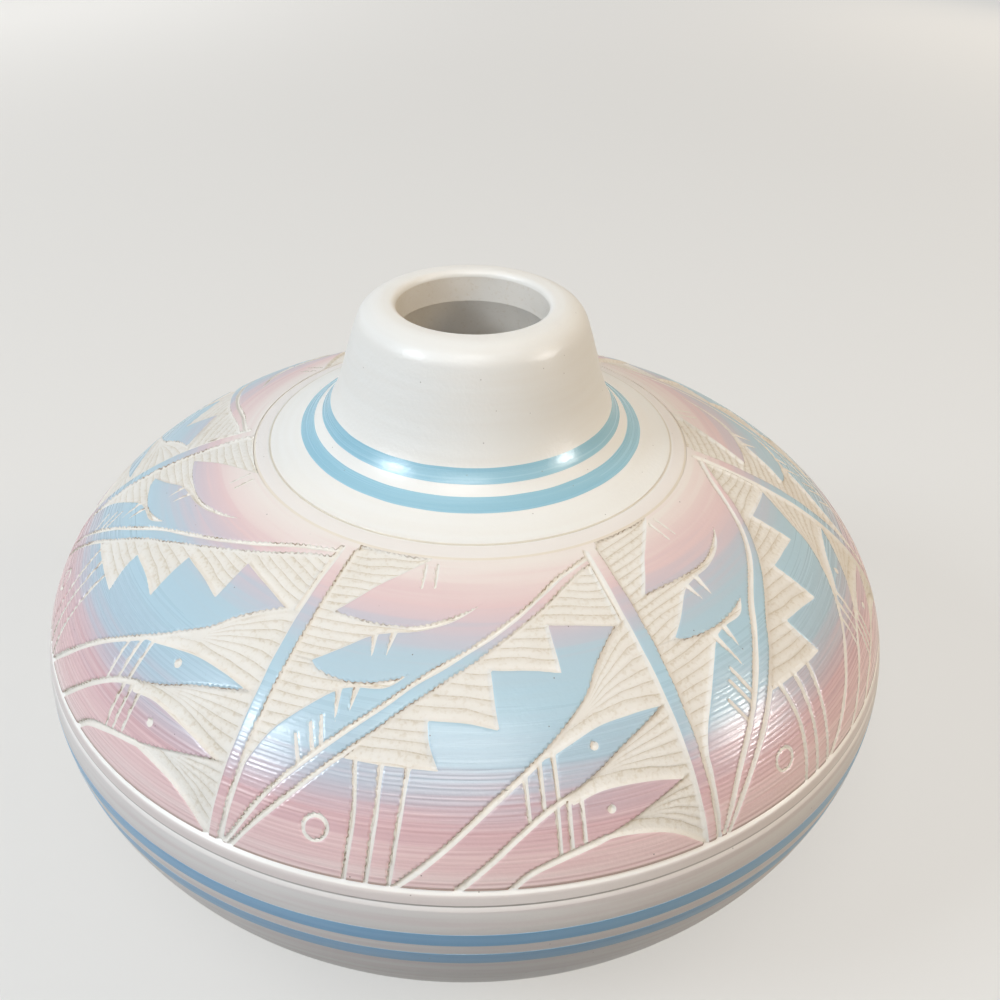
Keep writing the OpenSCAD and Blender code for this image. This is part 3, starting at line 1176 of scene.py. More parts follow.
@dataclass
class Groups:
    """Shader groups that several finishes share, each built once.

    Args:
        fine: Noise of the fine lines.
        streaks: Noise of the broad streaks.
        brush: Noise of the few thin dark lines.
        streak_fade: How the streaks are told apart.
        brush_fade: How the thin dark lines are told apart.
        ridge_pace: Ridges for each line of the brush.
        ridge_waver: How far the streaks bend the ridges, in radians.
        ridge_fade: How the ridges come and go with the brush.
        grain_detail: Levels of finer noise in the clay's grain.
        patch_scale: Scale of the clay's patches.
        patch_detail: Levels of finer noise in the patches.
        patch_fade: How the patches are told apart.
        speck_fade: Where a speck ends, as shares of its cell.
    """

    fine: RoundNoise = RoundNoise(20.0, 1.0, 3.0)
    streaks: RoundNoise = RoundNoise(26.0, 0.3, 2.0)
    brush: RoundNoise = RoundNoise(9.0, 0.6, 4.0)
    streak_fade: Fade = (0.35, 0.68, 0.0, 1.0)
    brush_fade: Fade = (0.5, 0.7, 0.0, 1.0)
    ridge_pace: float = 0.7
    ridge_waver: float = 7.0
    ridge_fade: Fade = (0.35, 0.6, 0.3, 1.0)
    grain_detail: float = 3.0
    patch_scale: float = 150.0
    patch_detail: float = 2.0
    patch_fade: Fade = (0.35, 0.65, 0.0, 1.0)
    speck_fade: Fade = (0.055, 0.03, 0.0, 1.0)

    def __post_init__(self) -> None:
        """Builds the groups."""
        self.turning = self.turning_lines()
        self.grain = self.clay_grain()
        self.specks = self.dark_specks()

    @staticmethod
    def start(name: str, inputs: dict[str, float],
              outputs: Sequence[str]) -> tuple[bpy.types.NodeTree, Board, bpy.types.Node]:
        """Starts a group with plain number sockets.

        Args:
            name: Name of the group.
            inputs: Each input with its usual value.
            outputs: The outputs.

        Returns:
            The group, a board on it, and its input node.
        """
        tree = bpy.data.node_groups.new(name, "ShaderNodeTree")
        for label, usual in inputs.items():
            socket = tree.interface.new_socket(label, in_out="INPUT", socket_type="NodeSocketFloat")
            socket.default_value = usual
        for label in outputs:
            tree.interface.new_socket(label, in_out="OUTPUT", socket_type="NodeSocketFloat")
        board = Board(tree)
        return tree, board, board.add("NodeGroupInput")

    @staticmethod
    def drawn_out(board: Board, kind: RoundNoise, fineness: Any) -> bpy.types.NodeSocket:
        """Noise that changes slowly round the vase and fast along its outside.

        Args:
            board: Board of the tree.
            kind: Which noise it is.
            fineness: Lines of the brush per millimetre.

        Returns:
            The noise.
        """
        spot = board.add("ShaderNodeTexCoord").outputs["Object"]
        parts = board.add("ShaderNodeSeparateXYZ", {0: spot})
        place = board.add("ShaderNodeCombineXYZ", {
            0: board.product(parts.outputs[0], kind.around),
            1: board.product(parts.outputs[1], kind.around),
            2: board.product(fineness, kind.pace, board.attribute("along"))})
        return board.noise(place.outputs[0], 1.0, kind.detail)

    def turning_lines(self) -> bpy.types.NodeTree:
        """Lines that a brush and the wheel leave round the vase.

        Returns:
            The group, with fine lines, broad streaks, a few thin dark lines and low ridges.
        """
        outputs = ("Lines", "Streaks", "Brush", "Ridges")
        tree, board, given = self.start("Turning lines", {"Fineness": 2.0}, outputs)
        fineness = given.outputs["Fineness"]
        fine = self.drawn_out(board, self.fine, fineness)
        streaks = self.drawn_out(board, self.streaks, fineness)
        brush = self.drawn_out(board, self.brush, fineness)
        pace = board.product(fineness, self.ridge_pace * FULL_TURN)
        bend = board.product(streaks, self.ridge_waver)
        waver = board.sum("MULTIPLY_ADD", board.attribute("along"), pace, bend)
        ridges = board.product(board.sum("SINE", waver), board.ramp(brush, *self.ridge_fade))
        board.add("NodeGroupOutput", {
            "Lines": fine, "Streaks": board.ramp(streaks, *self.streak_fade),
            "Brush": board.ramp(brush, *self.brush_fade), "Ridges": ridges})
        return tree

    def clay_grain(self) -> bpy.types.NodeTree:
        """Sandy grain of bare clay.

        Returns:
            The group, with the grain and broad patches.
        """
        tree, board, given = self.start("Clay grain", {"Scale": 1500.0}, ("Grain", "Patches"))
        spot = board.add("ShaderNodeTexCoord").outputs["Object"]
        grain = board.noise(spot, given.outputs["Scale"], self.grain_detail)
        patches = board.noise(spot, self.patch_scale, self.patch_detail)
        board.add("NodeGroupOutput", {"Grain": grain, "Patches": board.ramp(patches, *self.patch_fade)})
        return tree

    def dark_specks(self) -> bpy.types.NodeTree:
        """A few iron specks in the slip.

        Returns:
            The group, whose Rarity is the share of the cells that have no speck.
        """
        tree, board, given = self.start("Iron specks", {"Scale": 400.0, "Rarity": 0.5}, ("Specks",))
        spot = board.add("ShaderNodeTexCoord").outputs["Object"]
        cells = board.add("ShaderNodeTexVoronoi", {"Vector": spot, "Scale": given.outputs["Scale"]})
        draw = board.add("ShaderNodeSeparateColor", {0: cells.outputs["Color"]}).outputs[0]
        rare = board.sum("GREATER_THAN", draw, given.outputs["Rarity"])
        small = board.ramp(cells.outputs["Distance"], *self.speck_fade)
        board.add("NodeGroupOutput", {"Specks": board.product(rare, small)})
        return tree

    @staticmethod
    def use(board: Board, tree: bpy.types.NodeTree, **values: Any) -> bpy.types.Node:
        """Places a group in a material with its own values."""
        return board.add("ShaderNodeGroup", dict(values), node_tree=tree)


def new_finish(name: str) -> tuple[bpy.types.Material, Board, bpy.types.Node]:
    """Starts a material.

    Args:
        name: Name of the finish.

    Returns:
        The material, a board on its tree and its shader.
    """
    material = bpy.data.materials.new(name)
    material.use_nodes = True
    board = Board(material.node_tree)
    return material, board, material.node_tree.nodes["Principled BSDF"]


def add_relief(board: Board, shader: bpy.types.Node, height: Any) -> None:
    """Gives a shader fine relief.

    Args:
        board: Board of the material.
        shader: The shader.
        height: Height of the relief in millimetres.
    """
    bump = board.add("ShaderNodeBump", {"Height": height, "Distance": MM, "Strength": 1.0})
    board.feed(shader.inputs["Normal"], bump.outputs[0])


@dataclass(frozen=True)
class SlipFinish:
    """A brushed coat in one colour with streaks of another.

    Args:
        name: Name of the finish.
        ground: Main colour.
        streak: Colour of the streaks.
        streak_share: How strongly the streaks show.
        gloss: Roughness of the coat.
        gloss_fade: How the brush's lines change the roughness.
        fineness: Lines of the brush per millimetre.
        relief: Height of the brush's lines in millimetres.
        pitting: Height of the coat's fine unevenness in millimetres.
        blush: Colour that the coat takes on beside the coloured zone.
        blush_share: How strongly that colour shows.
        bare: Colour of the clay that its ring lines lay open.
        bare_share: How strongly the clay shows.
        line_tint_and_shadow: Colour of a band in the ring line: the neck's tan one is the line's own tone,
            the belly's dark one is a painted shadow under the line's upper edge.
        line_tint_and_shadow_share: How strongly that band shows.
        speck: Colour of its specks.
        speck_share: How strongly the specks show.
    """

    name: str
    ground: Colour
    streak: Colour
    streak_share: float
    gloss: float
    gloss_fade: Fade = (0.3, 0.7, -0.05, 0.06)
    fineness: float = 2.2
    relief: float = 0.015
    pitting: float = 0.012
    blush: Colour = paint(231, 216, 210)
    blush_share: float = 0.35
    bare: Colour = paint(228, 218, 203)
    bare_share: float = 1.0
    line_tint_and_shadow: Colour = paint(206, 193, 170)
    line_tint_and_shadow_share: float = 0.65
    speck: Colour = paint(124, 106, 92)
    speck_share: float = 0.5

    def make(self, groups: Groups) -> bpy.types.Material:
        """Builds the material.

        Args:
            groups: The shared groups.

        Returns:
            The material.
        """
        material, board, shader = new_finish(self.name)
        lines = Groups.use(board, groups.turning, Fineness=self.fineness)
        specks = Groups.use(board, groups.specks)
        colour = board.blend(board.product(lines.outputs["Streaks"], self.streak_share),
                             self.ground, self.streak)
        layers = (
            (board.attribute("blush"), self.blush_share, self.blush),
            (board.attribute("bare"), self.bare_share, self.bare),
            # Band in the ring line; on the belly it is a painted shadow under the line's upper edge
            (board.attribute("line_tint_and_shadow"), self.line_tint_and_shadow_share, self.line_tint_and_shadow),
            (specks.outputs["Specks"], self.speck_share, self.speck),
        )
        for place, share, tone in layers:
            colour = board.blend(board.product(place, share), colour, tone)
        board.feed(shader.inputs["Base Color"], colour)
        uneven = board.ramp(lines.outputs["Lines"], *self.gloss_fade)
        board.feed(shader.inputs["Roughness"], board.sum("ADD", uneven, self.gloss))
        grain = Groups.use(board, groups.grain).outputs["Grain"]
        brushed = board.product(lines.outputs["Lines"], self.relief)
        add_relief(board, shader, board.sum("MULTIPLY_ADD", grain, self.pitting, brushed))
        return material


@dataclass(frozen=True)
class ClayFinish:
    """Bare fired clay with a sandy grain.

    Args:
        name: Name of the finish.
        ground: Main colour.
        patch: Colour of broad patches.
        patch_share: How strongly the patches show.
        pore: Colour of the pores.
        pore_fade: How strongly the pores show where the grain is low.
        rough_fade: How the grain changes the roughness.
        relief: Height of the grain in millimetres.
    """

    name: str = "bare_clay"
    ground: Colour = paint(237, 232, 224)
    patch: Colour = paint(230, 223, 212)
    patch_share: float = 0.5
    pore: Colour = paint(212, 197, 174)
    pore_fade: Fade = (0.42, 0.3, 0.0, 0.2)
    rough_fade: Fade = (0.3, 0.7, 0.95, 0.8)
    relief: float = 0.05

    def colour(self, board: Board, grain: bpy.types.Node) -> bpy.types.NodeSocket:
        """Colour of the clay.

        Args:
            board: Board of the material.
            grain: The placed group of the clay's grain.

        Returns:
            The colour.
        """
        mottle = board.product(grain.outputs["Patches"], self.patch_share)
        colour = board.blend(mottle, self.ground, self.patch)
        return board.blend(board.ramp(grain.outputs["Grain"], *self.pore_fade), colour, self.pore)

    def make(self, groups: Groups) -> bpy.types.Material:
        """Builds the material.

        Args:
            groups: The shared groups.

        Returns:
            The material.
        """
        material, board, shader = new_finish(self.name)
        grain = Groups.use(board, groups.grain)
        board.feed(shader.inputs["Base Color"], self.colour(board, grain))
        board.feed(shader.inputs["Roughness"], board.ramp(grain.outputs["Grain"], *self.rough_fade))
        add_relief(board, shader, board.product(grain.outputs["Grain"], self.relief))
        return material


@dataclass
class Marks:
    """What the finish of the carved coat reads at a place.

    Args:
        lines: The placed group of turning lines.
        grain: The placed group of the clay's grain.
        zone: Share of the way down the coloured zone.
        wave: Waves of the crumbs along a ragged edge.
        crumbs: Unevenness of that edge in millimetres.
        cut: Distance outside the nearest cut, with its ragged edge, in millimetres.
        bare: 1 where the clay lies bare.
        beside: 1 along a ragged edge, where the crumbs stand and the painted shade falls.
        strip: Share of the way across a tool strip.
        clear: How clearly the strips show.
    """

    lines: bpy.types.Node
    grain: bpy.types.Node
    zone: bpy.types.NodeSocket
    wave: bpy.types.NodeSocket
    crumbs: bpy.types.NodeSocket
    cut: bpy.types.NodeSocket
    bare: bpy.types.NodeSocket
    beside: bpy.types.NodeSocket
    strip: bpy.types.NodeSocket
    clear: bpy.types.NodeSocket


@dataclass(frozen=True)
class GradedFinish:
    """The carved coat: pink that grades into blue and back, with clay where it is cut.

    Widths beside a cut are in millimetres, below 0 in the cut. Places in the zone and across a tool
    strip are shares of it.

    Args:
        name: Name of the finish.
        clay: The clay that the cuts lay open.
        fineness: Lines of the brush per millimetre.
        grades: Colours of the coat by their place in the zone.
        drift_fade: How far the streaks shift the colours.
        low_fade: Where the lower part of the zone starts.
        red: Colour of the thin lines of the lower part.
        red_share: How strongly they show.
        pale: Colour of the worn lines of the lower part.
        pale_fade: How strongly they show.
        end_shadow_fade: How strongly the zone's lower end is darkened, a painted shadow along the upper
            edge of the ring line below it.
        speck: Colour of the specks.
        speck_share: How strongly they show.
        rim_fade: How ragged an edge is by the way it faces.
        crumb_fade: How far the grain moves a ragged edge.
        crumb_wave: How far its crumbs move it.
        bare_fade: How sharply the coat ends at a cut.
        strip_line_and_shade: Colour of the lines between tool strips, partly the tool's tan line and partly
            painted shade under each strip's step.
        strip_fade: Where that line lies in a strip.
        strip_grain: How the grain breaks the line up.
        strip_shade: How a strip darkens towards its line, a painted shade under the step.
        crumbly_grain: How strongly crumbly clay shows where the grain is low.
        crumbly_strip: How that changes across a strip.
        crumbly_patch: How it changes with the clay's patches.
        ragged_edge_shade: Colour along a ragged upper left edge: partly the clay's darker tone, partly
            painted shade.
        ragged_shade_inner: Where that colour starts in the cut.
        ragged_shade_outer: Where it ends on the coat.
        ragged_shade_crumb: How it changes with the edge's crumbs.
        ragged_shade_patch: How it changes with the clay's patches.
        gloss_fade: Roughness of the coat from the upper to the lower part of the zone.
        gloss_lines: How the brush's lines change it.
        clay_rough: Roughness of the clay.
        line_relief: Height of the brush's lines from the upper to the lower part of the zone.
        ridge_relief: Height of the ridges there.
        pitting: Height of the coat's fine unevenness.
        clay_relief: Height of the clay's grain.
        strip_relief: Depth of the line between two strips.
        bead_relief: Height of the crumbs along a ragged edge.
        bead_fade: Where the crumbs end on the coat.
    """

    name: str = "graded_coat"
    clay: ClayFinish = ClayFinish()
    fineness: float = 2.0
    grades: tuple[tuple[float, Colour], ...] = (
        (0.0, paint(237, 228, 221)),
        (0.08, paint(234, 216, 211)),
        (0.15, paint(227, 200, 199)),
        (0.22, paint(212, 196, 201)),
        (0.28, paint(196, 197, 206)),
        (0.36, paint(181, 203, 214)),
        (0.48, paint(178, 206, 219)),
        (0.64, paint(178, 200, 213)),
        (0.71, paint(194, 193, 203)),
        (0.77, paint(208, 183, 189)),
        (0.83, paint(218, 181, 184)),
        (0.92, paint(232, 199, 198)),
        (1.0, paint(238, 214, 211)),
    )
    drift_fade: Fade = (0.0, 1.0, -0.02, 0.02)
    low_fade: Fade = (0.68, 0.8, 0.0, 1.0)
    red: Colour = paint(190, 130, 136)
    red_share: float = 0.3
    pale: Colour = paint(238, 218, 215)
    pale_fade: Fade = (0.45, 0.75, 0.0, 0.32)
    end_shadow_fade: Fade = (0.991, 0.997, 0.0, 0.6)
    speck: Colour = paint(92, 76, 70)
    speck_share: float = 0.8
    rim_fade: Fade = (0.1, 0.7, 0.0, 1.0)
    crumb_fade: Fade = (0.3, 0.7, -0.06, 0.06)
    crumb_wave: float = 0.05
    bare_fade: Fade = (0.03, -0.03, 0.0, 1.0)
    # Partly the tool's tan line and partly painted shade under each strip's step
    strip_line_and_shade: Colour = paint(194, 177, 148)
    strip_fade: Fade = (0.84, 0.94, 0.0, 1.0)
    strip_grain: Fade = (0.35, 0.65, 0.2, 0.65)
    strip_shade: Fade = (0.45, 1.0, 0.0, 0.25)
    crumbly_grain: Fade = (0.52, 0.36, 0.0, 0.45)
    crumbly_strip: Fade = (0.35, 0.95, 0.25, 1.0)
    crumbly_patch: Fade = (0.0, 1.0, 0.4, 1.0)
    # Partly the clay's darker tone and partly painted shade, along the ragged upper left edges of the cuts
    ragged_edge_shade: Colour = paint(150, 128, 104)
    ragged_shade_inner: Fade = (-0.18, -0.06, 0.0, 1.0)
    ragged_shade_outer: Fade = (0.05, 0.0, 0.0, 1.0)
    ragged_shade_crumb: Fade = (-0.04, 0.03, 0.3, 0.9)
    ragged_shade_patch: Fade = (0.1, 0.9, 0.35, 1.0)
    gloss_fade: Fade = (0.35, 0.55, 0.38, 0.26)
    gloss_lines: Fade = (0.3, 0.7, -0.05, 0.07)
    clay_rough: float = 0.9
    line_relief: Fade = (0.4, 0.65, 0.012, 0.035)
    ridge_relief: Fade = (0.5, 0.72, 0.0, 0.014)
    pitting: float = 0.03
    clay_relief: float = 0.08
    strip_relief: float = 0.035
    bead_relief: float = 0.05
    bead_fade: Fade = (0.3, 0.1, 0.0, 1.0)

    def make(self, groups: Groups) -> bpy.types.Material:
        """Builds the material.

        Args:
            groups: The shared groups.

        Returns:
            The material.
        """
        material, board, shader = new_finish(self.name)
        marks = self.read(board, groups)
        specks = Groups.use(board, groups.specks)
        coat = board.blend(board.product(specks.outputs["Specks"], self.speck_share),
                           self.painted(board, marks), self.speck)
        colour = board.blend(marks.bare, coat, self.carved(board, marks))
        # Painted shade, with the clay's darker tone, along the ragged upper left edges of the cuts
        ragged_shade = board.product(marks.beside, board.ramp(marks.cut, *self.ragged_shade_outer),
                            board.ramp(marks.crumbs, *self.ragged_shade_crumb),
                            board.ramp(marks.grain.outputs["Patches"], *self.ragged_shade_patch))
        board.feed(shader.inputs["Base Color"], board.blend(ragged_shade, colour, self.ragged_edge_shade))
        uneven = board.ramp(marks.lines.outputs["Lines"], *self.gloss_lines)
        rough = board.sum("ADD", board.ramp(marks.zone, *self.gloss_fade), uneven)
        board.feed(shader.inputs["Roughness"], board.between(marks.bare, rough, self.clay_rough))
        add_relief(board, shader, self.height(board, marks))
        return material

    def read(self, board: Board, groups: Groups) -> Marks:
        """Reads the cuts, with the ragged edge that crumbs give them.

        Args:
            board: Board of the material.
            groups: The shared groups.

        Returns:
            What the finish reads at a place.
        """
        grain = Groups.use(board, groups.grain)
        wave = board.sum("SINE", board.product(board.attribute("bead"), FULL_TURN))
        crumbs = board.ramp(grain.outputs["Grain"], *self.crumb_fade)
        bite = board.sum("MULTIPLY_ADD", wave, self.crumb_wave, crumbs)
        rim = board.ramp(board.attribute("rim"), *self.rim_fade)
        cut = board.sum("MULTIPLY_ADD", rim, bite, board.attribute("cut"))
        return Marks(
            lines=Groups.use(board, groups.turning, Fineness=self.fineness),
            grain=grain,
            zone=board.attribute("zone"),
            wave=wave,
            crumbs=crumbs,
            cut=cut,
            bare=board.ramp(cut, *self.bare_fade),
            beside=board.product(rim, board.ramp(cut, *self.ragged_shade_inner)),
            strip=board.sum("FRACT", board.attribute("strips")),
            clear=board.attribute("clear"),
        )

    def painted(self, board: Board, marks: Marks) -> bpy.types.NodeSocket:
        """Colour of the coat: its grades, drifting streaks, and thin red and pale brush lines.

        Args:
            board: Board of the material.
            marks: What the finish reads at a place.

        Returns:
            The colour.
        """
        drift = board.ramp(marks.lines.outputs["Streaks"], *self.drift_fade)
        ramp = board.add("ShaderNodeValToRGB", {0: board.sum("ADD", marks.zone, drift)})
        stops = ramp.color_ramp.elements
        while len(stops) < len(self.grades):
            stops.new(0.5)
        for stop, (place, colour) in zip(stops, self.grades):
            stop.position = place
            stop.color = colour
        low_part = board.ramp(marks.zone, *self.low_fade)
        thin = board.product(low_part, marks.lines.outputs["Brush"], self.red_share)
        worn = board.product(low_part, board.ramp(marks.lines.outputs["Lines"], *self.pale_fade))
        colour = board.blend(thin, ramp.outputs[0], self.red)
        colour = board.blend(worn, colour, self.pale)
        # Painted shadow along the zone's lower end, at the upper edge of the ring line below it
        return board.blend(board.ramp(marks.zone, *self.end_shadow_fade), colour, self.ragged_edge_shade)

    def carved(self, board: Board, marks: Marks) -> bpy.types.NodeSocket:
        """Colour of the clay in the cuts: broken lines between tool strips, and crumbly patches.

        Args:
            board: Board of the material.
            marks: What the finish reads at a place.

        Returns:
            The colour.
        """
        grain, patches = marks.grain.outputs["Grain"], marks.grain.outputs["Patches"]
        # The lines between tool strips, the darkening towards them and the crumbly patches that gather
        # there are partly painted shade under each strip's step
        dash = board.ramp(grain, *self.strip_grain)
        line = board.product(board.ramp(marks.strip, *self.strip_fade), dash)
        line = board.sum("MAXIMUM", line, board.ramp(marks.strip, *self.strip_shade))
        crumbly = board.product(board.ramp(grain, *self.crumbly_grain), marks.clear,
                                board.ramp(marks.strip, *self.crumbly_strip),
                                board.ramp(patches, *self.crumbly_patch))
        colour = self.clay.colour(board, marks.grain)
        colour = board.blend(board.product(line, marks.clear), colour, self.strip_line_and_shade)
        return board.blend(crumbly, colour, self.strip_line_and_shade)

    def height(self, board: Board, marks: Marks) -> bpy.types.NodeSocket:
        """Height of the fine relief on the coat and in the cuts.

        Args:
            board: Board of the material.
            marks: What the finish reads at a place.

        Returns:
            The height in millimetres.
        """
        lines, grain = marks.lines.outputs, marks.grain.outputs["Grain"]
        brushed = board.product(lines["Lines"], board.ramp(marks.zone, *self.line_relief))
        brushed = board.sum("MULTIPLY_ADD", grain, self.pitting, brushed)
        ridged = board.ramp(marks.zone, *self.ridge_relief)
        brushed = board.sum("MULTIPLY_ADD", lines["Ridges"], ridged, brushed)
        sunk = board.product(marks.strip, marks.clear, -self.strip_relief)
        sandy = board.sum("MULTIPLY_ADD", grain, self.clay_relief, sunk)
        relief = board.between(marks.bare, brushed, sandy)
        beads = board.product(marks.beside, board.ramp(marks.cut, *self.bead_fade), marks.wave)
        return board.sum("MULTIPLY_ADD", beads, self.bead_relief, relief)


# The pieces

class Slot(Enum):
    """Slots that the coats are given; nothing in the script reads them."""

    WHITE = "white_slip"
    RING = "blue_paint"
    PINK = "pink_slip"
    BLUE = "blue_slip"


@dataclass
class ClayBody:
    """The four clay sections, which keep their solids.

    Args:
        finishes: Finish of each section by its name.
    """

    finishes: dict[str, bpy.types.Material]

    def dress(self) -> None:
        """Gives the solids the look of bare clay."""
        for name, finish in self.finishes.items():
            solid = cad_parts[name]
            solid.data.materials.clear()
            solid.data.materials.append(finish)
            log.info("%s: solid kept, dressed in %s", name, finish.name)


class ZoneSide(Enum):
    """Side of a white coat that the coloured zone lies on."""

    UNDER = 1
    OVER = -1


@dataclass
class WhiteCoat:
    """A white coat with a ring line, and the wheel's faint ripples.

    Args:
        name: Name of the piece and of its solid.
        low: Lower edge along the outside.
        high: Upper edge along the outside.
        line: Edges of the ring line that is cut in it.
        line_depth: Depth of the ring line.
        line_tint_and_shadow: Middle and half width of the tinted band in the line, in shares of the line
            from its upper edge.
        side: Side of the coat that the coloured zone lies on.
        bevel: Width and depth of the slope at the edge beside the zone.
        bevel_rows: Rows on that slope.
        row_gap: Gap between two rows elsewhere.
        line_rows: Rows across the ring line.
        line_margin: How far these rows reach past the line.
        steep_share: Share of the line that its steep upper side takes up.
        bare_fade: Width over which the clay comes to show on the slope.
        blush_from: Share of the line past which the coat takes on the zone's colour.
        thickness: Thickness of the coat.
        wheel: Unevenness that the wheel leaves.
        ripple: Height of that unevenness.
        steps: Number of steps round the coat.
    """

    name: str
    low: float
    high: float
    line: Point
    line_depth: float
    line_tint_and_shadow: Point
    side: ZoneSide
    bevel: Point
    bevel_rows: int = 4
    row_gap: float = 0.4
    line_rows: int = 19
    line_margin: float = 0.5
    steep_share: float = 0.15
    bare_fade: float = 0.1
    blush_from: float = 0.5
    thickness: float = 0.55
    wheel: Ripple = Ripple(2.6, 21, stretch=30.0)
    ripple: float = 0.008
    steps: int = 360

    def rows(self) -> np.ndarray:
        """Rows of the outer face, closer together where the ring line is cut.

        Returns:
            Their places along the outside.
        """
        even = np.linspace(self.low, self.high, int((self.high - self.low) / self.row_gap))
        ends = self.line[0] - self.line_margin, self.line[1] + self.line_margin
        close = np.linspace(*ends, self.line_rows)
        apart = (even < close[0]) | (even > close[-1])
        slope = np.linspace(self.bevel[0], 0, self.bevel_rows, endpoint=False)
        slope = self.low - slope if self.side is ZoneSide.UNDER else self.high + slope
        return np.sort(np.concatenate([even[apart], close, slope]))

    def build(self, outline: Outline, tree: bpy.types.NodeTree, finish: bpy.types.Material) -> None:
        """Turns the coat and cuts its ring line.

        Args:
            outline: Outside of the vase.
            tree: The lathe's tree.
            finish: Material of the coat.
        """
        section = Section.between(outline, self.rows(), self.thickness)
        ring = Ring(self.name, Slot.WHITE.value, section, self.steps)
        ring.turn(tree, finish)
        azimuth, length, face = ring.places()
        under = self.side is ZoneSide.UNDER
        share = (self.line[1] - length) / (self.line[1] - self.line[0])
        steep, gentle = share / self.steep_share, (1 - share) / (1 - self.steep_share)
        sunk = np.clip(np.minimum(steep, gentle), 0, 1)
        beyond = self.low - length if under else length - self.high
        slope = self.bevel[1] * np.clip(beyond / self.bevel[0], 0, 1)
        raised = self.ripple * self.wheel.value(azimuth, length) - self.line_depth * sunk - slope
        points, away = outline.surface(length)
        moved = points + raised[:, None] * away
        ring.place(azimuth[face], moved[face], face)
        ring.note("along", length)
        # Band in the ring line: a tan tone on the neck, a painted shadow under the line's upper edge on the
        # belly
        middle, half = self.line_tint_and_shadow
        ring.note("line_tint_and_shadow", np.clip(2 - 2 * np.abs(share - middle) / half, 0, 1))
        ring.note("blush", np.clip(self.side.value * (share - self.blush_from), 0, 1))
        open_line = 0 if under else sunk
        ring.note("bare", np.clip(np.maximum(beyond / self.bare_fade, open_line), 0, 1))
        ring.hand_over()


@dataclass
class PaintedBand:
    """A painted ring whose edges waver as a brush's do.

    Args:
        name: Name of the piece and of its solid.
        edges: Lower and upper edge along the outside.
        seed: Seed of its wavering.
        rows: Rows of its outer face.
        back_rows: Rows of its back.
        thickness: Thickness of the band.
        proud: How far it stands off the coat.
        waver: How far its edges waver.
        wave: Length of the waves along its edges.
        steps: Number of steps round it.
    """

    name: str
    edges: Point
    seed: int
    rows: int = 9
    back_rows: int = 5
    thickness: float = 0.28
    proud: float = 0.03
    waver: float = 0.015
    wave: float = 14.0
    steps: int = 720

    def build(self, outline: Outline, tree: bpy.types.NodeTree, finish: bpy.types.Material) -> None:
        """Turns the band and lays it on the white coat.

        Args:
            outline: Outside of the vase.
            tree: The lathe's tree.
            finish: Material of the band.
        """
        low, high = self.edges
        rows = np.linspace(low, high, self.rows)
        section = Section.between(outline, rows, self.thickness, self.back_rows)
        ring = Ring(self.name, Slot.RING.value, section, self.steps)
        ring.turn(tree, finish)
        azimuth, length, face = ring.places()
        share = (length - low) / (high - low)
        fixed = np.zeros_like(azimuth)
        lower = self.waver * Ripple(self.wave, self.seed).value(azimuth, fixed)
        upper = self.waver * Ripple(self.wave, self.seed + 1).value(azimuth, fixed)
        points, away = outline.surface(length + (1 - share) * lower + share * upper)
        ring.place(azimuth[face], (points + self.proud * away)[face], face)
        ring.note("along", length)
        ring.hand_over()


@dataclass
class ColouredZone:
    """The three coats of the shoulder, which meet flush and share one graded finish.

    Args:
        edges: Where the coats end.
        row_gap: Gap between two rows.
        most_rows: Most rows that a coat has.
        back_rows: Rows of a coat's back.
        thickness: Thickness of the coats.
        steps: Number of steps round them.
    """

    edges: Edges
    row_gap: float = 0.22
    most_rows: int = 62
    back_rows: int = 5
    thickness: float = 0.58
    steps: int = 1440

    def build(self, outline: Outline, tree: bpy.types.NodeTree, finish: bpy.types.Material) -> None:
        """Turns the coats and carves the pattern through them.

        Args:
            outline: Outside of the vase.
            tree: The lathe's tree.
            finish: Material of the coats.
        """
        low = self.edges.rise_line(self.edges.lower_line_rise)[1]
        high = self.edges.neck_line(self.edges.upper_line_out)[0]
        blue_low, blue_high = self.edges.blue()
        carving = Carving(outline, low, high)
        coats = (("upper_pink_coat", Slot.PINK, blue_high, high),
                 ("blue_coat", Slot.BLUE, blue_low, blue_high),
                 ("lower_pink_coat", Slot.PINK, low, blue_low))
        for name, slot, start, end in coats:
            rows = np.linspace(start, end, min(self.most_rows, int((end - start) / self.row_gap)))
            section = Section.between(outline, rows, self.thickness, self.back_rows)
            ring = Ring(name, slot.value, section, self.steps)
            ring.turn(tree, finish)
            ring.note("along", ring.section.length[ring.row])
            carving.carve(ring)
            ring.hand_over()


# The studio

class LampUse(Enum):
    """What a lamp adds: plain light, a shine in the gloss, or both."""

    ALL = "all"
    SHADE = "shade"
    GLOSS = "gloss"


@dataclass(frozen=True)
class Softbox:
    """A soft lamp that faces the vase.

    Args:
        name: Name of the lamp.
        place: Where it hangs, in metres.
        size: Its width and height in metres.
        power: Its power in watts.
        tint: Its colour.
        use: What it adds to the coats.
    """

    name: str
    place: tuple[float, float, float]
    size: Point
    power: float
    tint: tuple[float, float, float]
    use: LampUse = LampUse.ALL

    def hang(self, target: Vector) -> None:
        """Hangs the lamp and turns it to a point.

        Args:
            target: The point.
        """
        lamp = bpy.data.lights.new(self.name, "AREA")
        lamp.shape = "RECTANGLE"
        lamp.size, lamp.size_y = self.size
        lamp.energy = self.power
        lamp.color = self.tint
        holder = bpy.data.objects.new(self.name, lamp)
        holder.location = self.place
        holder.visible_camera = False
        holder.visible_glossy = self.use is not LampUse.SHADE
        holder.visible_diffuse = self.use is not LampUse.GLOSS
        holder.rotation_euler = (target - Vector(self.place)).to_track_quat("-Z", "Y").to_euler()
        bpy.context.scene.collection.objects.link(holder)


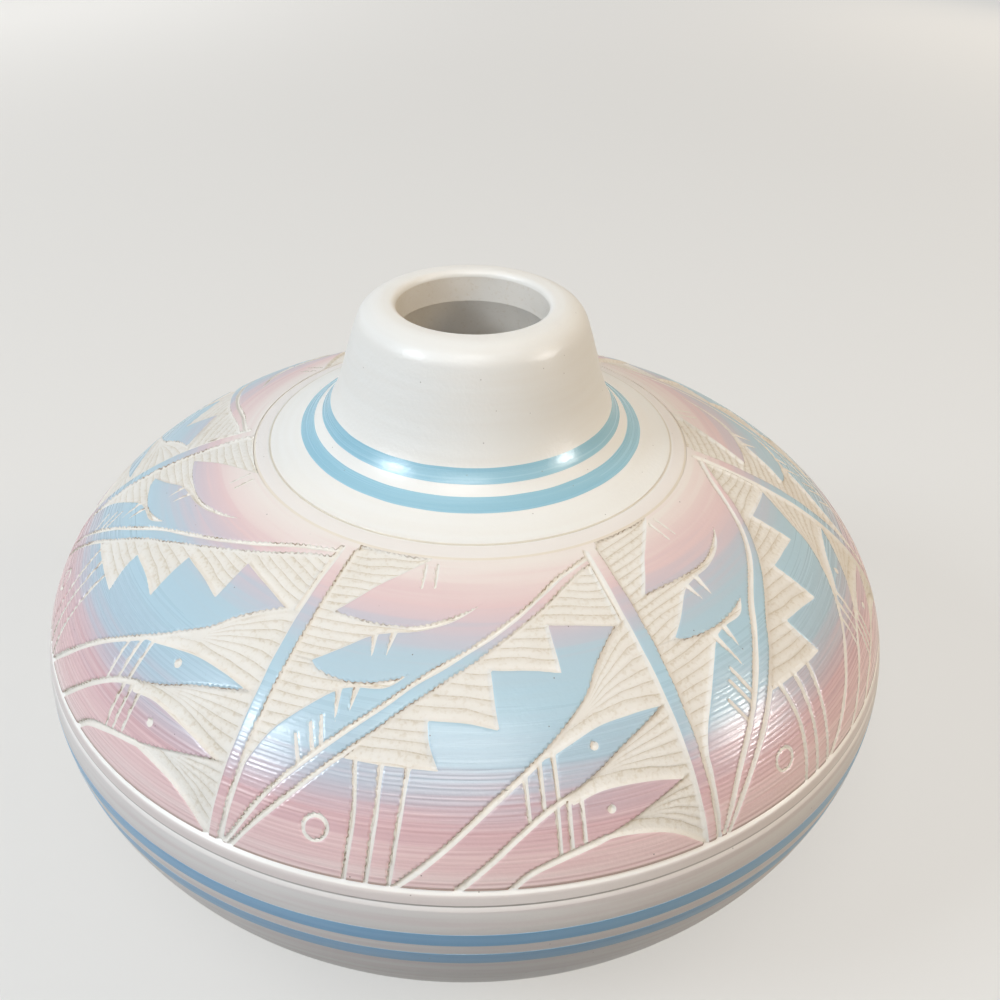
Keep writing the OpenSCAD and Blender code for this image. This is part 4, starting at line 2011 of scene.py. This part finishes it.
@dataclass(frozen=True)
class Studio:
    """Pale floor, soft lamps and the photograph's viewpoint.

    Lengths are in metres, and the lens and its sensor in millimetres. The floor's glow has a strength
    near the vase and one far off. The colours named bounce and sky are those that light the vase.
    """

    floor_half: float = 6.0
    floor_colour: Colour = paint(160, 159, 157)
    floor_glow: Colour = paint(226, 225, 222)
    glow_strength: Point = (0.6, 0.86)
    glow_reach: Point = (0.5, 2.0)
    floor_bounce: Colour = paint(46, 45, 44)
    floor_rough: float = 0.9
    floor_shine: float = 0.2
    sky: Colour = (0.06, 0.061, 0.062, 1.0)
    backdrop: Colour = paint(222, 220, 216)
    sun_strength: float = 0.2
    sun_spread: float = math.radians(70.0)
    lamps: tuple[Softbox, ...] = (
        Softbox("front", (-0.06, -0.62, 0.94), (0.55, 0.5), 5.3, (1.0, 0.99, 0.98)),
        Softbox("left", (-0.72, -0.38, 0.65), (0.31, 0.27), 4.7, (0.84, 0.94, 1.03)),
        Softbox("left glint", (-0.72, -0.38, 0.65), (0.15, 0.13), 2.0, (0.96, 0.98, 1.0), LampUse.GLOSS),
        Softbox("right glint", (0.8, -0.2, 0.42), (0.16, 0.14), 3.2, (1.0, 0.98, 0.95), LampUse.GLOSS),
        Softbox("right", (0.8, -0.2, 0.6), (0.3, 0.26), 2.7, (1.0, 0.78, 0.5), LampUse.SHADE),
        Softbox("back left", (-0.7, 0.8, 0.3), (1.1, 0.36), 3.0, (1.0, 1.0, 1.0), LampUse.SHADE),
        Softbox("back right", (0.8, 0.7, 0.3), (1.1, 0.36), 2.2, (1.0, 0.84, 0.64), LampUse.SHADE),
    )
    middle: tuple[float, float, float] = (0.0, 0.0, 0.07)
    eye_y: float = -0.1760
    eye_z: float = 0.19096
    pitch: float = math.radians(33.036)
    yaw: float = math.radians(1.803)
    roll: float = math.radians(-1.640)
    lens: float = 40.32
    sensor: float = 36.0
    nearest: float = 0.005

    def build(self) -> None:
        """Makes the floor, the world, the lamps and the camera."""
        self.lay_floor()
        self.light()
        self.aim_camera()
        bpy.context.scene.view_settings.view_transform = "Standard"

    @staticmethod
    def seen(board: Board) -> bpy.types.NodeSocket:
        """Tells the rays that show a surface from those that it lights with.

        Args:
            board: Board of the tree.

        Returns:
            1 where a surface is seen directly, in a reflection or through glass, and 0 where it lights.
        """
        ray = board.add("ShaderNodeLightPath")
        either = board.sum("MAXIMUM", ray.outputs["Is Camera Ray"], ray.outputs["Is Glossy Ray"])
        return board.sum("MAXIMUM", either, ray.outputs["Is Transmission Ray"])

    def lay_floor(self) -> None:
        """Lays the floor under the foot: pale where it is seen, dim where it throws light back."""
        half = self.floor_half
        mesh = bpy.data.meshes.new("floor")
        corners = [(-half, -half, 0), (half, -half, 0), (half, half, 0), (-half, half, 0)]
        mesh.from_pydata(corners, [], [(0, 1, 2, 3)])
        floor = bpy.data.objects.new("floor", mesh)
        bpy.context.scene.collection.objects.link(floor)
        material, board, shader = new_finish("floor_paper")
        seen = self.seen(board)
        board.feed(shader.inputs["Base Color"], board.blend(seen, self.floor_bounce, self.floor_colour))
        shader.inputs["Emission Color"].default_value = self.floor_glow
        spot = board.add("ShaderNodeTexCoord").outputs["Object"]
        away = board.add("ShaderNodeVectorMath", {0: spot}, operation="LENGTH").outputs["Value"]
        glow = board.ramp(away, *self.glow_reach, *self.glow_strength)
        board.feed(shader.inputs["Emission Strength"], board.product(seen, glow))
        shader.inputs["Roughness"].default_value = self.floor_rough
        shader.inputs["Specular IOR Level"].default_value = self.floor_shine
        mesh.materials.append(material)

    def light(self) -> None:
        """Sets a sky that is pale where it is seen and dim where it lights, and hangs the lamps."""
        world = bpy.data.worlds.new("studio")
        world.use_nodes = True
        board = Board(world.node_tree)
        colour = board.blend(self.seen(board), self.sky, self.backdrop)
        board.feed(world.node_tree.nodes["Background"].inputs["Color"], colour)
        bpy.context.scene.world = world
        sun = bpy.data.lights.new("skylight", "SUN")
        sun.energy = self.sun_strength
        sun.angle = self.sun_spread
        bpy.context.scene.collection.objects.link(bpy.data.objects.new("skylight", sun))
        for lamp in self.lamps:
            lamp.hang(Vector(self.middle))

    def aim_camera(self) -> None:
        """Puts the camera where the photograph was taken."""
        right = Vector((math.cos(self.yaw), -math.sin(self.yaw), 0))
        ahead = Vector((math.sin(self.yaw), math.cos(self.yaw), 0))
        upright = Vector((0, 0, 1))
        forward = math.cos(self.pitch) * ahead - math.sin(self.pitch) * upright
        above = math.sin(self.pitch) * ahead + math.cos(self.pitch) * upright
        side = math.cos(self.roll) * right - math.sin(self.roll) * above
        top = math.sin(self.roll) * right + math.cos(self.roll) * above
        lens = bpy.data.cameras.new("camera")
        lens.lens = self.lens
        lens.sensor_width = self.sensor
        lens.clip_start = self.nearest
        camera = bpy.data.objects.new("camera", lens)
        turn = Matrix((side, top, -forward)).transposed().to_4x4()
        camera.matrix_world = Matrix.Translation((0.0, self.eye_y, self.eye_z)) @ turn
        bpy.context.scene.collection.objects.link(camera)
        bpy.context.scene.camera = camera


def main() -> None:
    """Builds the studio, the finishes and the pieces in order."""
    logging.basicConfig(level=logging.INFO, format="%(message)s")
    Studio().build()
    groups = Groups()
    tree = lathe_tree()
    outline = Outline()
    edges = Edges(outline)
    neck_white = SlipFinish("neck_white", ground=paint(240, 238, 233), streak=paint(237, 233, 226),
                            streak_share=0.4, gloss=0.35, relief=0.006, pitting=0.05)
    # Its dark line colour is a painted shadow under the upper edge of the belly's ring line
    belly_white = SlipFinish("belly_white", ground=paint(236, 231, 227), streak=paint(224, 212, 209),
                             streak_share=0.7, gloss=0.36,
                             line_tint_and_shadow=paint(124, 110, 104), bare=paint(252, 249, 244))
    neck_blue = SlipFinish("neck_blue", ground=paint(160, 202, 218), streak=paint(142, 190, 209),
                           streak_share=0.6, gloss=0.25, relief=0.03, pitting=0.03)
    belly_blue = SlipFinish("belly_blue", ground=paint(142, 188, 222), streak=paint(122, 172, 210),
                            streak_share=0.6, gloss=0.32, relief=0.02)
    line_clay = ClayFinish("line_clay", ground=paint(248, 243, 237), patch=paint(243, 236, 228),
                           pore=paint(228, 218, 206))
    clay = ClayFinish().make(groups)
    ClayBody({"base": clay, "lower_bowl": clay, "shoulder": line_clay.make(groups), "neck": clay}).dress()
    neck_coat = WhiteCoat("neck_slip", low=edges.neck_line(edges.upper_line_out)[1], high=edges.mouth(),
                          line=edges.neck_line(edges.collar_line_out), line_depth=0.18,
                          line_tint_and_shadow=(0.35, 0.45), side=ZoneSide.UNDER, bevel=(0.49, 0.13))
    neck_coat.build(outline, tree, neck_white.make(groups))
    # Its line band sits at the ring line's upper edge, as a painted shadow there
    belly_coat = WhiteCoat("belly_slip", low=edges.bare_foot(),
                           high=edges.rise_line(edges.lower_line_rise)[0],
                           line=edges.rise_line(edges.belly_line_rise), line_depth=0.28,
                           line_tint_and_shadow=(0.06, 0.3), side=ZoneSide.OVER, bevel=(0.88, 0.42))
    belly_coat.build(outline, tree, belly_white.make(groups))
    neck_paint, belly_paint = neck_blue.make(groups), belly_blue.make(groups)
    bands = (
        (PaintedBand("neck_band_lower", edges.neck_band(0), seed=40), neck_paint),
        (PaintedBand("neck_band_upper", edges.neck_band(1), seed=50), neck_paint),
        (PaintedBand("belly_band_upper", edges.belly_band(0), seed=60), belly_paint),
        (PaintedBand("belly_band_lower", edges.belly_band(1), seed=70), belly_paint),
    )
    for band, finish in bands:
        band.build(outline, tree, finish)
    ColouredZone(edges).build(outline, tree, GradedFinish().make(groups))


if __name__ == "__main__":
    main()
